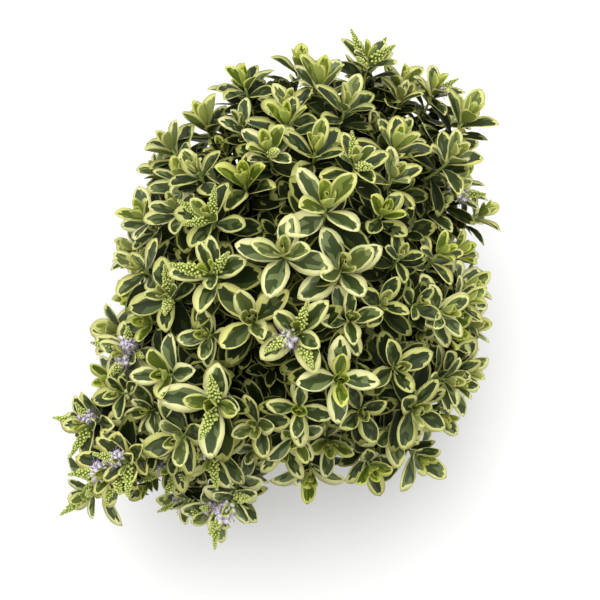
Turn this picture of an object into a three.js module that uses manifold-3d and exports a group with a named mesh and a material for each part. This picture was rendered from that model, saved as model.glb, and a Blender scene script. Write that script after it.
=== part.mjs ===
// A variegated hebe: a low bushy evergreen shrub growing in a plain round nursery pot.
// Millimetres, +Z up, origin at the middle of the pot's flat underside; +Y is the crown's back.
//
// The plant is built the way it grows. A short stem stands on the potting soil, limbs leave it
// at staggered heights, and each limb forks into two masses of foliage. A mass is a stem that
// splits into a few shoots, and each shoot carries opposite pairs of leaves, every pair turned
// a quarter turn from the last, with flower spikes in the upper leaf axils.
//
// Every mass keeps to its own cone of space. The cones share one apex, the hub, and meet
// halfway between neighbours, so leaves of two masses never cross.
import * as THREE from "three";
import { mergeVertices } from "three/addons/utils/BufferGeometryUtils.js";
import Module from "manifold-3d";

const wasm = await Module();
wasm.setup();

// ---- Driving dimensions ---------------------------------------------------------------

const CLEARANCE = 0.3; // between pieces that touch
const SLIVERS = [0.1, 0.14, 0.18]; // widths to close up, tried in turn
const GROWINGS = 8; // times that a mass is grown again before it counts as failed
const GRID = 0.02; // twigs, leaves and spikes end up with their corners on this grid

const POT = {
  height: 125,
  baseRadius: 54,
  shoulderRadius: 70,
  shoulderHeight: 108,
  rimRadius: 75,
  wall: 2,
  floor: 2.4,
  sides: 24,
  drainRadius: 5,
  drainCircle: 40,
  drains: 4,
};

const SOIL = { top: 110, edgeDrop: 2, flatRadius: 24 };

const TRUNK = {
  height: 42,
  flareRadius: 14,
  baseRadius: 9.5,
  tipRadius: 6.5,
  leanDeg: 4,
  sides: 10,
};

const HUB = new THREE.Vector3(0, 0, 115); // apex of every mass's cone

// Limbs leave the trunk in tiers, so that neighbours start at different heights.
const BOUGH = {
  tierHeights: [10, 21, 32],
  baseRadius: 3.9,
  tipRadius: 2.4,
  reachShare: 0.46, // of the way from the hub to the foliage's surface
  sides: 5,
  steps: 3,
};

const TWIG = { stemRadius: 1.9, forkRadius: 1.7, tipRadius: 1.2, sides: 3, steps: 2 };
const FORK_SHARE = 0.58; // of a mass's reach, where its stem splits into shoots
const UPWARD_PULL = 0.45; // how far a shoot's tip turns from straight out towards the light
const REACH_VARIATION = 0.05; // of a mass's reach, from shoot to shoot

// The leaf pairs of one shoot, from the tip down: distance below the tip, leaf length and
// the angle between leaf and stem.
const LEAF_PAIRS = [
  { below: 3, length: 24, openDeg: 38 },
  { below: 13, length: 34, openDeg: 46 },
  { below: 27, length: 39, openDeg: 60 },
  { below: 43, length: 40, openDeg: 70 },
];
// A leaf's outline from its foot round to its foot again: share of the length, and of half
// the width. Every second corner is raised and the rest lowered, which gives the leaf its
// thickness with eight faces.
const LEAF_OUTLINE = [
  [0, 0],
  [0.36, -0.86],
  [0.72, -1],
  [1, 0],
  [0.72, 1],
  [0.36, 0.86],
];
const LEAF = {
  widthShare: 0.52,
  thicknessShare: 0.036,
  foldShare: 0.03, // how far the edges stand above the midrib
  droopShare: 0.08,
  rootGap: 0.1, // between the leaf's foot and the stem's middle line, so two never meet there
  sizes: [1, 0.85, 0.72, 0.64], // tried in turn, so a crowded leaf is smaller and stands closer
  sharedEdge: 0, // how far a leaf may reach into the space of a shoot beside it
};

const SPIKE = { length: 33, radius: 5, openDeg: 24, sides: 4, rings: 3, mostOnShoot: 4 };

// The foliage, two masses to a limb: the outer one first, then the one above it.
// bearing is measured from +X towards +Y, lean from upright, both in degrees; reach is from
// the hub to the shoot tips. spread and turn set the ring in which the shoots stand.
const LIMBS = [
  {
    outer: { name: "right", bearing: 9, lean: 66, reach: 154, turn: 0 },
    inner: { name: "top_right", bearing: 338, lean: 27, reach: 176, turn: 0 },
  },
  {
    outer: { name: "back_right_low", bearing: 31, lean: 64, reach: 180, turn: 60, spikes: 4 },
    inner: { name: "top_back_right", bearing: 40, lean: 24, reach: 190, turn: 0, spikes: 2 },
  },
  {
    outer: { name: "back_right", bearing: 51, lean: 63, reach: 220, turn: 0, spikes: 1 },
    inner: { name: "upper_back_right", bearing: 48, lean: 43, reach: 196, turn: 45 },
  },
  {
    outer: { name: "back", bearing: 69, lean: 60, reach: 230, turn: 30, spikes: 4 },
    inner: { name: "upper_back", bearing: 84, lean: 42, reach: 200, turn: 0 },
  },
  {
    outer: { name: "back_left", bearing: 99, lean: 60, reach: 216, turn: 30 },
    inner: { name: "top_back", bearing: 96, lean: 25, reach: 190, turn: 0, spikes: 1 },
  },
  {
    outer: { name: "left_back_low", bearing: 127, lean: 62, reach: 184, turn: 20 },
    inner: { name: "top_back_left", bearing: 142, lean: 24, reach: 186, turn: 0, spikes: 3 },
  },
  {
    outer: { name: "left_back", bearing: 154, lean: 66, reach: 156, turn: 45 },
    inner: { name: "upper_left_back", bearing: 152, lean: 43, reach: 172, turn: 40 },
  },
  {
    outer: { name: "left", bearing: 178, lean: 66, reach: 146, turn: 0, spikes: 3 },
    inner: { name: "upper_left", bearing: 192, lean: 43, reach: 168, turn: 40, spikes: 2 },
  },
  {
    outer: { name: "left_front", bearing: 198, lean: 66, reach: 168, turn: 30, spikes: 4 },
    inner: { name: "top_left", bearing: 224, lean: 24, reach: 184, turn: 0, spikes: 2 },
  },
  {
    outer: { name: "front_left_far", bearing: 221, lean: 70, reach: 229, turn: 0, spikes: 6 },
    inner: { name: "upper_front_left", bearing: 234, lean: 46, reach: 192, turn: 15, spikes: 2 },
  },
  {
    outer: { name: "front_left", bearing: 241, lean: 70, reach: 184, turn: 45, spikes: 5 },
    inner: { name: "upper_front", bearing: 264, lean: 46, reach: 172, turn: 30 },
  },
  {
    outer: { name: "front", bearing: 273, lean: 68, reach: 140, turn: 0 },
    inner: { name: "top_front", bearing: 285, lean: 24, reach: 192, turn: 0, spikes: 3 },
  },
  {
    outer: { name: "front_right", bearing: 299, lean: 68, reach: 164, turn: 45 },
    inner: { name: "upper_front_right", bearing: 303, lean: 44, reach: 174, turn: 30 },
  },
  {
    outer: { name: "right_front", bearing: 320, lean: 66, reach: 152, turn: 0 },
    inner: { name: "top", bearing: 320, lean: 5, reach: 194, turn: 0 },
  },
  {
    outer: { name: "right_low", bearing: 344, lean: 68, reach: 150, turn: 60 },
    inner: { name: "upper_right", bearing: 352, lean: 46, reach: 170, turn: 0 },
  },
];
const SHOOTS = 3; // to a mass
const SHOOT_SPREAD = 0.58; // where a shoot stands between its mass's middle line and edge
const WIDEST_CONE_DEG = 19; // from middle line to edge, where no neighbour is nearer

// ---- Materials ------------------------------------------------------------------------

const material = (name, color, roughness) =>
  new THREE.MeshStandardMaterial({ name, color, roughness, metalness: 0 });

const POT_PLASTIC = material("pot_plastic", 0x24231f, 0.55);
const POTTING_SOIL = material("potting_soil", 0x2b1f17, 0.95);
const BARK = material("bark", 0x6a5b45, 0.85);
const FOLIAGE = material("foliage", 0x6f8a4b, 0.5);

// ---- Small helpers --------------------------------------------------------------------

const UP = new THREE.Vector3(0, 0, 1);
const radians = THREE.MathUtils.degToRad;
const along = (origin, direction, distance) => origin.clone().addScaledVector(direction, distance);

/** The direction `angle` away from `stem`, towards `rank`. */
const leaning = (stem, rank, angle) =>
  stem.clone().multiplyScalar(Math.cos(angle)).addScaledVector(rank, Math.sin(angle));

/** A repeatable stream of numbers from 0 to 1 (mulberry32). */
function randomStream(seed) {
  let state = seed >>> 0;
  return () => {
    state = (state + 0x6d2b79f5) >>> 0;
    let t = Math.imul(state ^ (state >>> 15), state | 1);
    t ^= t + Math.imul(t ^ (t >>> 7), t | 61);
    return ((t ^ (t >>> 14)) >>> 0) / 4294967296;
  };
}

/** The unit vector of a bearing and a lean, in degrees. */
function direction(bearing, lean) {
  const outward = Math.sin(radians(lean));
  const b = radians(bearing);
  return new THREE.Vector3(outward * Math.cos(b), outward * Math.sin(b), Math.cos(radians(lean)));
}

/** A closed geometry as a manifold-3d solid. */
function solidOf(geometry) {
  const bare = geometry.clone();
  bare.deleteAttribute("normal");
  bare.deleteAttribute("uv");
  const merged = mergeVertices(bare, 1e-4);
  return new wasm.Manifold(
    new wasm.Mesh({
      numProp: 3,
      vertProperties: new Float32Array(merged.attributes.position.array),
      triVerts: new Uint32Array(merged.index.array),
    }),
  );
}

/** The largest body of a solid, which drops scraps that a cut leaves loose. */
const largestBody = (solid) =>
  solid.decompose().reduce((best, body) => (body.volume() > best.volume() ? body : best));

/** A solid's faces as a geometry. */
function geometryOf(solid) {
  const { vertProperties, triVerts } = solid.getMesh();
  return new THREE.BufferGeometry()
    .setAttribute("position", new THREE.BufferAttribute(vertProperties, 3))
    .setIndex(new THREE.BufferAttribute(triVerts, 1));
}

/** A solid's largest body once its corners are moved to the grid. */
function onGrid(solid) {
  const geometry = geometryOf(solid);
  const corners = geometry.attributes.position.array;
  corners.forEach((value, i) => (corners[i] = Math.round(value / GRID) * GRID));
  return largestBody(solidOf(geometry));
}

/** True if every edge has just its two faces, also where corners of a solid coincide. */
function isClosed(solid) {
  const corners = mergeVertices(geometryOf(solid), 1e-4).index.array;
  const facesAtEdge = new Map();
  for (let i = 0; i < corners.length; i += 3) {
    const face = [corners[i], corners[i + 1], corners[i + 2]];
    face.forEach((from, k) => {
      const key = [from, face[(k + 1) % 3]].sort((a, b) => a - b).join();
      facesAtEdge.set(key, (facesAtEdge.get(key) ?? 0) + 1);
    });
  }
  return [...facesAtEdge.values()].every((faces) => faces === 2);
}

/** A solid with its finest slivers closed up, or nothing if that would leave it open. */
function withoutSlivers(solid) {
  const whole = solid.asOriginal();
  return SLIVERS.map((width) => onGrid(whole.simplify(width))).find(isClosed);
}

/** A named mesh made of a solid. */
function meshOf(name, solid, meshMaterial) {
  const geometry = geometryOf(solid);
  geometry.computeVertexNormals();
  const mesh = new THREE.Mesh(geometry, meshMaterial);
  mesh.name = name;
  return mesh;
}

/** A solid of revolution about Z from [radius, height] pairs that start and end on the axis. */
function turned(profile, sides) {
  const points = profile.map(([radius, height]) => new THREE.Vector2(radius, height));
  return solidOf(new THREE.LatheGeometry(points, sides).rotateX(Math.PI / 2));
}

/** A closed tapering limb along a curve. */
function limb(curve, baseRadius, tipRadius, sides, steps) {
  const geometry = new THREE.CylinderGeometry(tipRadius, baseRadius, 1, sides, steps);
  const frames = curve.computeFrenetFrames(steps);
  const place = geometry.attributes.position;
  for (let i = 0; i < place.count; i++) {
    const share = place.getY(i) + 0.5;
    const step = Math.round(share * steps);
    const point = curve
      .getPointAt(share)
      .addScaledVector(frames.normals[step], place.getX(i))
      .addScaledVector(frames.binormals[step], -place.getZ(i));
    place.setXYZ(i, point.x, point.y, point.z);
  }
  return solidOf(geometry);
}

/** Places a geometry with its x axis along `forward` and its y axis towards `face`. */
function aim(geometry, foot, forward, face) {
  const side = forward.clone().cross(face).normalize();
  const upper = side.clone().cross(forward);
  const basis = new THREE.Matrix4().makeBasis(forward, upper, side).setPosition(foot);
  return geometry.applyMatrix4(basis);
}

// ---- Pot, soil and trunk --------------------------------------------------------------

/** The pot's inner radius at a height, less `gap`. */
function innerRadius(height, gap = 0) {
  const slope = (POT.shoulderRadius - POT.baseRadius) / POT.shoulderHeight;
  return POT.baseRadius + slope * height - POT.wall - gap;
}

/** A tapered pot with a rolled rim and drain holes in its floor. */
function pot() {
  const shell = turned(
    [
      [0, 0],
      [POT.baseRadius, 0],
      [POT.shoulderRadius, POT.shoulderHeight],
      [POT.rimRadius - 1, POT.shoulderHeight + 1],
      [POT.rimRadius, POT.height - 1.5],
      [POT.rimRadius - 1, POT.height],
      [POT.rimRadius - POT.wall, POT.height],
      [POT.rimRadius - POT.wall - 1.5, POT.shoulderHeight + 4],
      [innerRadius(POT.shoulderHeight), POT.shoulderHeight + 2],
      [innerRadius(POT.floor), POT.floor],
      [0, POT.floor],
    ],
    POT.sides,
  );
  const drains = Array.from({ length: POT.drains }, (_, k) => {
    const angle = ((k + 0.5) / POT.drains) * 2 * Math.PI;
    const drill = new THREE.CylinderGeometry(POT.drainRadius, POT.drainRadius, 3 * POT.floor, 8)
      .rotateX(Math.PI / 2)
      .translate(POT.drainCircle * Math.cos(angle), POT.drainCircle * Math.sin(angle), 0);
    return solidOf(drill);
  });
  return drains.reduce((body, drain) => body.subtract(drain), shell);
}

/** The root ball: potting soil that fills the pot to a little below its rim. */
function soil() {
  const bottom = POT.floor + CLEARANCE;
  const edge = SOIL.top - SOIL.edgeDrop;
  return turned(
    [
      [0, bottom],
      [innerRadius(bottom, CLEARANCE), bottom],
      [innerRadius(edge, CLEARANCE), edge],
      [SOIL.flatRadius, SOIL.top],
      [0, SOIL.top],
    ],
    POT.sides,
  );
}

const TRUNK_FOOT = SOIL.top + CLEARANCE;
const TRUNK_SLOPE = Math.tan(radians(TRUNK.leanDeg));

/** The trunk's middle line at a height above its foot. It leans towards the back. */
const trunkPoint = (height) => new THREE.Vector3(0, TRUNK_SLOPE * height, TRUNK_FOOT + height);

/** The short stem, flared at its foot and rounded over at its fork, grown by `sleeve`. */
function trunk(sleeve = 0) {
  const top = TRUNK.height + sleeve;
  const body = turned(
    [
      [0, 0],
      [TRUNK.flareRadius + sleeve, 0],
      [TRUNK.baseRadius + 1.5 + sleeve, 3],
      [TRUNK.baseRadius + sleeve, 8],
      [TRUNK.tipRadius + sleeve, top - 5],
      [TRUNK.tipRadius * 0.7 + sleeve, top - 1],
      [0, top],
    ],
    TRUNK.sides,
  );
  return body.warp((v) => {
    v[1] += TRUNK_SLOPE * v[2];
    v[2] += TRUNK_FOOT;
  });
}

// ---- Limbs ----------------------------------------------------------------------------

const masses = LIMBS.flatMap((pair, bough) =>
  [pair.outer, pair.inner].map((mass) => ({
    ...mass,
    bough,
    axis: direction(mass.bearing, mass.lean),
    twin: mass === pair.outer ? pair.inner : pair.outer,
  })),
);

/** Where a limb ends: on the plane between its two masses. */
function boughTip(pair) {
  const heading = direction(pair.outer.bearing, pair.outer.lean)
    .add(direction(pair.inner.bearing, pair.inner.lean))
    .normalize();
  const reach = Math.min(pair.outer.reach, pair.inner.reach) * BOUGH.reachShare;
  return { point: along(HUB, heading, reach), heading };
}

/** The line of a limb, from the trunk's middle to its tip. */
function boughCurve(pair, index) {
  const tip = boughTip(pair);
  const start = trunkPoint(BOUGH.tierHeights[index % BOUGH.tierHeights.length]);
  const level = new THREE.Vector3(tip.heading.x, tip.heading.y, 0).normalize();
  const leaving = level.addScaledVector(UP, 0.55).normalize();
  const length = start.distanceTo(tip.point);
  return new THREE.CubicBezierCurve3(
    start,
    along(start, leaving, 0.35 * length),
    along(tip.point, tip.heading, -0.35 * length),
    tip.point,
  );
}

/** One tapering limb, its foot cut to sit against the trunk. */
function bough(curve, trunkSleeve) {
  const whole = limb(curve, BOUGH.baseRadius, BOUGH.tipRadius, BOUGH.sides, BOUGH.steps);
  return largestBody(whole.subtract(trunkSleeve));
}

const boughCurves = LIMBS.map(boughCurve);
const boughSamples = boughCurves.map((curve) => curve.getSpacedPoints(24));

// ---- Foliage --------------------------------------------------------------------------

/** True if a point lies in a mass's own cone, and clear of the pot and of every limb. */
function ownsPoint(mass, point) {
  const offset = point.clone().sub(HUB);
  const inCone = masses.every((other) => {
    const across = mass.axis.clone().sub(other.axis);
    return other.name === mass.name || offset.dot(across) > CLEARANCE * across.length();
  });
  const radius = Math.hypot(point.x, point.y);
  const clearOfPot = point.z > POT.height + 1 || radius > POT.rimRadius + 1;
  return inCone && clearOfPot;
}

/** True if a point lies on a shoot's side of the shoots beside it, give or take a little. */
const onOwnSide = (shoot, beside, point) =>
  beside.every((other) => {
    const across = shoot.heading.clone().sub(other.heading);
    return point.clone().sub(HUB).dot(across) > -LEAF.sharedEdge * across.length();
  });

/** True if a point is clear of every limb. */
const clearOfBoughs = (point) =>
  boughSamples.every((samples) =>
    samples.every((sample) => sample.distanceTo(point) > BOUGH.baseRadius + 1.5),
  );

/** Points over a leaf's face, from its corners and the middle of each rim edge. */
function facePoints(geometry) {
  const place = geometry.attributes.position;
  const corners = Array.from({ length: place.count }, (_, i) =>
    new THREE.Vector3().fromBufferAttribute(place, i),
  );
  const middle = corners[0].clone().lerp(corners[corners.length - 1], 0.5);
  return corners.flatMap((corner) => [corner, corner.clone().lerp(middle, 0.5)]);
}

/** One leaf: a thin blade in its own outline, with raised edges and a drooping tip. */
function leafGeometry(foot, forward, face, length) {
  const count = LEAF_OUTLINE.length;
  const corners = LEAF_OUTLINE.flatMap(([share, side], i) => {
    const skin = (i % 2 ? -0.5 : 0.5) * LEAF.thicknessShare;
    const lift = skin + Math.abs(side) * LEAF.foldShare - share * share * LEAF.droopShare;
    return [share * length, lift * length, side * length * (LEAF.widthShare / 2)];
  });
  const faces = [0, 4, 2, 1, 3, 5];
  for (let i = 0; i < count; i++) {
    const next = [(i + 1) % count, (i + 2) % count];
    faces.push(i, ...(i % 2 ? next : next.reverse()));
  }
  const geometry = new THREE.BufferGeometry()
    .setAttribute("position", new THREE.Float32BufferAttribute(corners, 3))
    .setIndex(faces);
  return aim(geometry, foot, forward, face);
}

/** One flower spike: a slim spindle that is widest below its middle. */
function spikeGeometry(foot, forward, face) {
  const geometry = new THREE.SphereGeometry(1, SPIKE.sides, SPIKE.rings).rotateZ(-Math.PI / 2);
  const place = geometry.attributes.position;
  for (let i = 0; i < place.count; i++) {
    const share = (place.getX(i) + 1) / 2;
    const girth = SPIKE.radius * (1.15 - 0.35 * share);
    place.setXYZ(i, share * SPIKE.length, place.getY(i) * girth, place.getZ(i) * girth);
  }
  return aim(geometry, foot, forward, face);
}

/** The angle from a mass's middle line to the edge of its cone on the side of `aside`. */
function edgeAngle(mass, aside) {
  const angles = masses
    .filter((other) => other.name !== mass.name && aside.dot(other.axis) > 0)
    .map((other) => Math.atan2(1 - mass.axis.dot(other.axis), aside.dot(other.axis)));
  return Math.min(...angles, radians(WIDEST_CONE_DEG));
}

/** A mass's shoots: the heading of each, and its line from the fork to the tip. */
function shootsOf(mass, random) {
  const fork = along(HUB, mass.axis, mass.reach * FORK_SHARE);
  const outward = direction(mass.bearing, mass.lean + 90);
  const sideways = mass.axis.clone().cross(outward);
  return Array.from({ length: SHOOTS }, (_, k) => {
    const around = radians(mass.turn + (360 * k) / SHOOTS);
    const aside = outward
      .clone()
      .multiplyScalar(Math.cos(around))
      .addScaledVector(sideways, Math.sin(around));
    const tilt = SHOOT_SPREAD * edgeAngle(mass, aside);
    const heading = mass.axis
      .clone()
      .multiplyScalar(Math.cos(tilt))
      .addScaledVector(aside, Math.sin(tilt))
      .normalize();
    const reach = mass.reach * (1 + REACH_VARIATION * (2 * random() - 1));
    const tip = along(HUB, heading, reach);
    const ending = heading.clone().addScaledVector(UP, UPWARD_PULL).normalize();
    const bend = 0.4 * fork.distanceTo(tip);
    const curve = new THREE.CubicBezierCurve3(
      along(fork, mass.axis, -1),
      along(fork, mass.axis, bend),
      along(tip, ending, -bend),
      tip,
    );
    return { heading, curve };
  });
}

/** The leaves of one shoot that fit the mass's space. */
function shootLeaves(mass, shoot, beside, random) {
  const { curve } = shoot;
  const length = curve.getLength();
  const firstTurn = random() * Math.PI;
  return LEAF_PAIRS.flatMap((pair, level) => {
    const share = 1 - pair.below / length;
    if (share < 0.1) return [];
    const node = curve.getPointAt(share);
    const stem = curve.getTangentAt(share);
    const across = stem.clone().cross(UP).normalize();
    const open = radians(pair.openDeg + 8 * (random() - 0.5));
    return [0, 1].flatMap((half) => {
      const turn = firstTurn + (level * Math.PI) / 2 + half * Math.PI;
      const rank = across.clone().applyAxisAngle(stem, turn);
      const foot = along(node, rank, LEAF.rootGap);
      const size = pair.length * (0.92 + 0.16 * random());
      const fits = (p) =>
        p.distanceTo(node) < 3 ||
        (ownsPoint(mass, p) && onOwnSide(shoot, beside, p) && clearOfBoughs(p));
      const leaf = LEAF.sizes
        .map((share) => leafGeometry(foot, leaning(stem, rank, open * share), stem, size * share))
        .find((candidate) => facePoints(candidate).every(fits));
      return leaf ? [solidOf(leaf)] : [];
    });
  });
}

/** The flower spikes of one shoot, which stand in its upper leaf axils. */
function shootSpikes(mass, curve, count, random) {
  const length = curve.getLength();
  const turnBase = random() * Math.PI;
  return Array.from({ length: count }, (_, k) => {
    const below = 7 + 9 * Math.floor(k / 2);
    const share = 1 - below / length;
    const node = curve.getPointAt(share);
    const stem = curve.getTangentAt(share);
    const across = stem.clone().cross(UP).normalize();
    const rank = across.applyAxisAngle(stem, turnBase + k * Math.PI + Math.floor(k / 2) * (Math.PI / 2));
    const forward = leaning(stem, rank, radians(SPIKE.openDeg));
    const spike = spikeGeometry(along(node, forward, -1), forward, stem);
    return facePoints(spike).every((p) => ownsPoint(mass, p)) ? [solidOf(spike)] : [];
  }).flat();
}

/** One mass of foliage: its stem, shoots, leaves and flower spikes, fused if they join well. */
function grown(mass, seed, turn) {
  const random = randomStream(seed + 1000 * turn);
  const pair = LIMBS[mass.bough];
  const tip = boughTip(pair);
  const away = mass.axis.clone().sub(direction(mass.twin.bearing, mass.twin.lean)).normalize();
  const start = along(along(tip.point, away, TWIG.stemRadius + CLEARANCE), tip.heading, CLEARANCE);
  const fork = along(HUB, mass.axis, mass.reach * FORK_SHARE);
  const reach = start.distanceTo(fork);
  const stemCurve = new THREE.CubicBezierCurve3(
    start,
    along(start, tip.heading, 0.3 * reach),
    along(fork, mass.axis, -0.3 * reach),
    fork,
  );
  const parts = [limb(stemCurve, TWIG.stemRadius, TWIG.forkRadius, TWIG.sides, TWIG.steps)];
  let spikesLeft = mass.spikes ?? 0;
  const shoots = shootsOf(mass, randomStream(seed));
  for (const shoot of shoots) {
    const beside = shoots.filter((other) => other !== shoot);
    const count = Math.min(spikesLeft, SPIKE.mostOnShoot);
    spikesLeft -= count;
    parts.push(limb(shoot.curve, TWIG.forkRadius, TWIG.tipRadius, TWIG.sides, TWIG.steps));
    parts.push(...shootLeaves(mass, shoot, beside, random));
    parts.push(...shootSpikes(mass, shoot.curve, count, random));
  }
  return withoutSlivers(largestBody(wasm.Manifold.union(parts)));
}

/** A mass grown again, with its leaves turned anew, until all of it joins without slivers. */
function foliage(mass, seed) {
  for (let turn = 0; turn < GROWINGS; turn++) {
    const solid = grown(mass, seed, turn);
    if (solid) return solid;
  }
  throw new Error(`${mass.name} has slivers however its leaves are turned`);
}

// ---- The shrub ------------------------------------------------------------------------

const shrub = new THREE.Group();
shrub.name = "hebe_shrub";

const trunkSleeve = trunk(CLEARANCE);
shrub.add(meshOf("pot", pot(), POT_PLASTIC));
shrub.add(meshOf("soil", soil(), POTTING_SOIL));
shrub.add(meshOf("trunk", trunk(), BARK));
LIMBS.forEach((pair, index) => {
  shrub.add(meshOf(`limb_${pair.outer.name}`, bough(boughCurves[index], trunkSleeve), BARK));
});
masses.forEach((mass, index) => {
  shrub.add(meshOf(`foliage_${mass.name}`, foliage(mass, 100 + index), FOLIAGE));
});

export default shrub;
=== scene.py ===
"""A variegated hebe in a plain nursery pot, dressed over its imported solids.

+Z is up, the origin is the middle of the pot's flat underside and +Y is the crown's back. Sizes
are in millimetres, and a finished piece is brought to metres as it is placed.

The shrub grows by the rule of its solids: a short stem on the potting soil, limbs at staggered
heights, two masses of foliage to a limb and three main shoots to a mass, each mass in its own
cone of space. Closer leaf pairs, side shoots, budded racemes and open flowers carry it on to
finer twigs within the same reach.
"""

from __future__ import annotations

import logging
import math
from bisect import bisect_left
from dataclasses import dataclass, field
from enum import Enum, IntEnum
from itertools import product
from typing import Iterable, Sequence

import bmesh
import bpy
from mathutils import Matrix, Vector, noise

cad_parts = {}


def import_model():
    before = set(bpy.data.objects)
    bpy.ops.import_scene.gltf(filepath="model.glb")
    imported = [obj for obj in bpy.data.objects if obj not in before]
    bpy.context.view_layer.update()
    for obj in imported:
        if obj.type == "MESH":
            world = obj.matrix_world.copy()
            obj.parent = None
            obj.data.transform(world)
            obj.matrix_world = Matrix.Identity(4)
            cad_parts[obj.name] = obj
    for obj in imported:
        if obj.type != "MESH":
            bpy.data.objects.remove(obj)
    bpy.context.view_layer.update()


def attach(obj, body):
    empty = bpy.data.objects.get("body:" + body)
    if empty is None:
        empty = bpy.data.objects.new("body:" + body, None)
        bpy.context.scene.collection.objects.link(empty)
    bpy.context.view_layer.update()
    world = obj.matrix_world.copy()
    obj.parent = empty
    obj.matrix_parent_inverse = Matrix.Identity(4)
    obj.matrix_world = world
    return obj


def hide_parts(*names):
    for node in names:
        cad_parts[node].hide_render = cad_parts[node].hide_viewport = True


log = logging.getLogger("hebe")

MM = 0.001
BODY = "root"
UP = Vector((0.0, 0.0, 1.0))
TINY = 1e-9
LEAST_LEVEL = 1e-3
Colour = tuple[int, int, int]
Span = tuple[float, float]


# ---- Finishes --------------------------------------------------------------------------


def linear(colour: Colour) -> tuple[float, float, float, float]:
    """Turns a screen colour into the colour that a shader takes, by the usual screen curve.

    Args:
        colour: Red, green and blue from 0 to 255.

    Returns:
        Linear red, green, blue and an alpha of 1.
    """
    parts = [c / 255 for c in colour]
    parts = [c / 12.92 if c <= 0.04045 else ((c + 0.055) / 1.055) ** 2.4 for c in parts]
    return (parts[0], parts[1], parts[2], 1.0)


@dataclass(frozen=True)
class Finish:
    """A named finish, whose material is made at its first use."""

    name: str

    def material(self) -> bpy.types.Material:
        """Makes the finish once.

        Returns:
            The material, the same one at each call.
        """
        found = bpy.data.materials.get(self.name)
        if found:
            return found
        made = bpy.data.materials.new(self.name)
        made.use_nodes = True
        self._dress(made.node_tree, made.node_tree.nodes["Principled BSDF"])
        return made

    def _dress(self, tree: bpy.types.NodeTree, shader: bpy.types.Node) -> None:
        """Sets the shader, in the way of each kind of finish.

        Args:
            tree: The material's nodes.
            shader: Its shader.
        """
        raise NotImplementedError


@dataclass(frozen=True)
class PlainFinish(Finish):
    """One plain tone of leaf, stem, bud or petal, as it is dealt out to a spray."""

    colour: Colour
    roughness: float = 0.42
    specular: float = 0.5

    def _dress(self, tree: bpy.types.NodeTree, shader: bpy.types.Node) -> None:
        """Sets the tone and the sheen.

        Args:
            tree: The material's nodes.
            shader: Its shader.
        """
        shader.inputs["Base Color"].default_value = linear(self.colour)
        shader.inputs["Roughness"].default_value = self.roughness
        shader.inputs["Specular IOR Level"].default_value = self.specular


@dataclass(frozen=True)
class GrainedFinish(Finish):
    """A finish whose colour and relief come from noise on Object coordinates, in metres."""

    dark: Colour
    light: Colour
    grain: float
    fine_grain: float
    roughness: float
    rough_spread: float
    relief: float
    specular: float = 0.5
    dark_until: float = 0.32
    light_from: float = 0.7
    broad_detail: float = 4.0
    fine_detail: float = 6.0
    bump: float = 0.8

    def _dress(self, tree: bpy.types.NodeTree, shader: bpy.types.Node) -> None:
        """Mixes a broad and a fine noise into the tone, the sheen and the relief.

        Args:
            tree: The material's nodes.
            shader: Its shader.
        """
        shader.inputs["Specular IOR Level"].default_value = self.specular
        place = tree.nodes.new("ShaderNodeTexCoord")
        broad = self._noise(tree, place, self.grain, self.broad_detail)
        fine = self._noise(tree, place, self.fine_grain, self.fine_detail)
        ramp = tree.nodes.new("ShaderNodeValToRGB")
        stops = ((self.dark_until, self.dark), (self.light_from, self.light))
        for stop, (position, colour) in zip(ramp.color_ramp.elements, stops):
            stop.position, stop.color = position, linear(colour)
        mean = tree.nodes.new("ShaderNodeMath")
        mean.operation = "MULTIPLY_ADD"
        mean.inputs[1].default_value = 0.5
        half = tree.nodes.new("ShaderNodeMath")
        half.operation = "MULTIPLY"
        half.inputs[1].default_value = 0.5
        tree.links.new(fine.outputs["Fac"], half.inputs[0])
        tree.links.new(broad.outputs["Fac"], mean.inputs[0])
        tree.links.new(half.outputs[0], mean.inputs[2])
        tree.links.new(mean.outputs[0], ramp.inputs["Fac"])
        tree.links.new(ramp.outputs["Color"], shader.inputs["Base Color"])
        sheen = tree.nodes.new("ShaderNodeMapRange")
        sheen.inputs["To Min"].default_value = self.roughness - self.rough_spread
        sheen.inputs["To Max"].default_value = self.roughness + self.rough_spread
        tree.links.new(broad.outputs["Fac"], sheen.inputs["Value"])
        tree.links.new(sheen.outputs["Result"], shader.inputs["Roughness"])
        bump = tree.nodes.new("ShaderNodeBump")
        bump.inputs["Strength"].default_value = self.bump
        bump.inputs["Distance"].default_value = self.relief
        tree.links.new(fine.outputs["Fac"], bump.inputs["Height"])
        tree.links.new(bump.outputs["Normal"], shader.inputs["Normal"])

    @staticmethod
    def _noise(
        tree: bpy.types.NodeTree, place: bpy.types.Node, scale: float, detail: float
    ) -> bpy.types.Node:
        """Adds one noise on Object coordinates.

        Args:
            tree: The material's nodes.
            place: Its texture coordinates.
            scale: How many cells there are to a metre.
            detail: How many finer layers it has.

        Returns:
            The noise node.
        """
        made = tree.nodes.new("ShaderNodeTexNoise")
        made.inputs["Scale"].default_value = scale
        made.inputs["Detail"].default_value = detail
        tree.links.new(place.outputs["Object"], made.inputs["Vector"])
        return made


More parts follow.
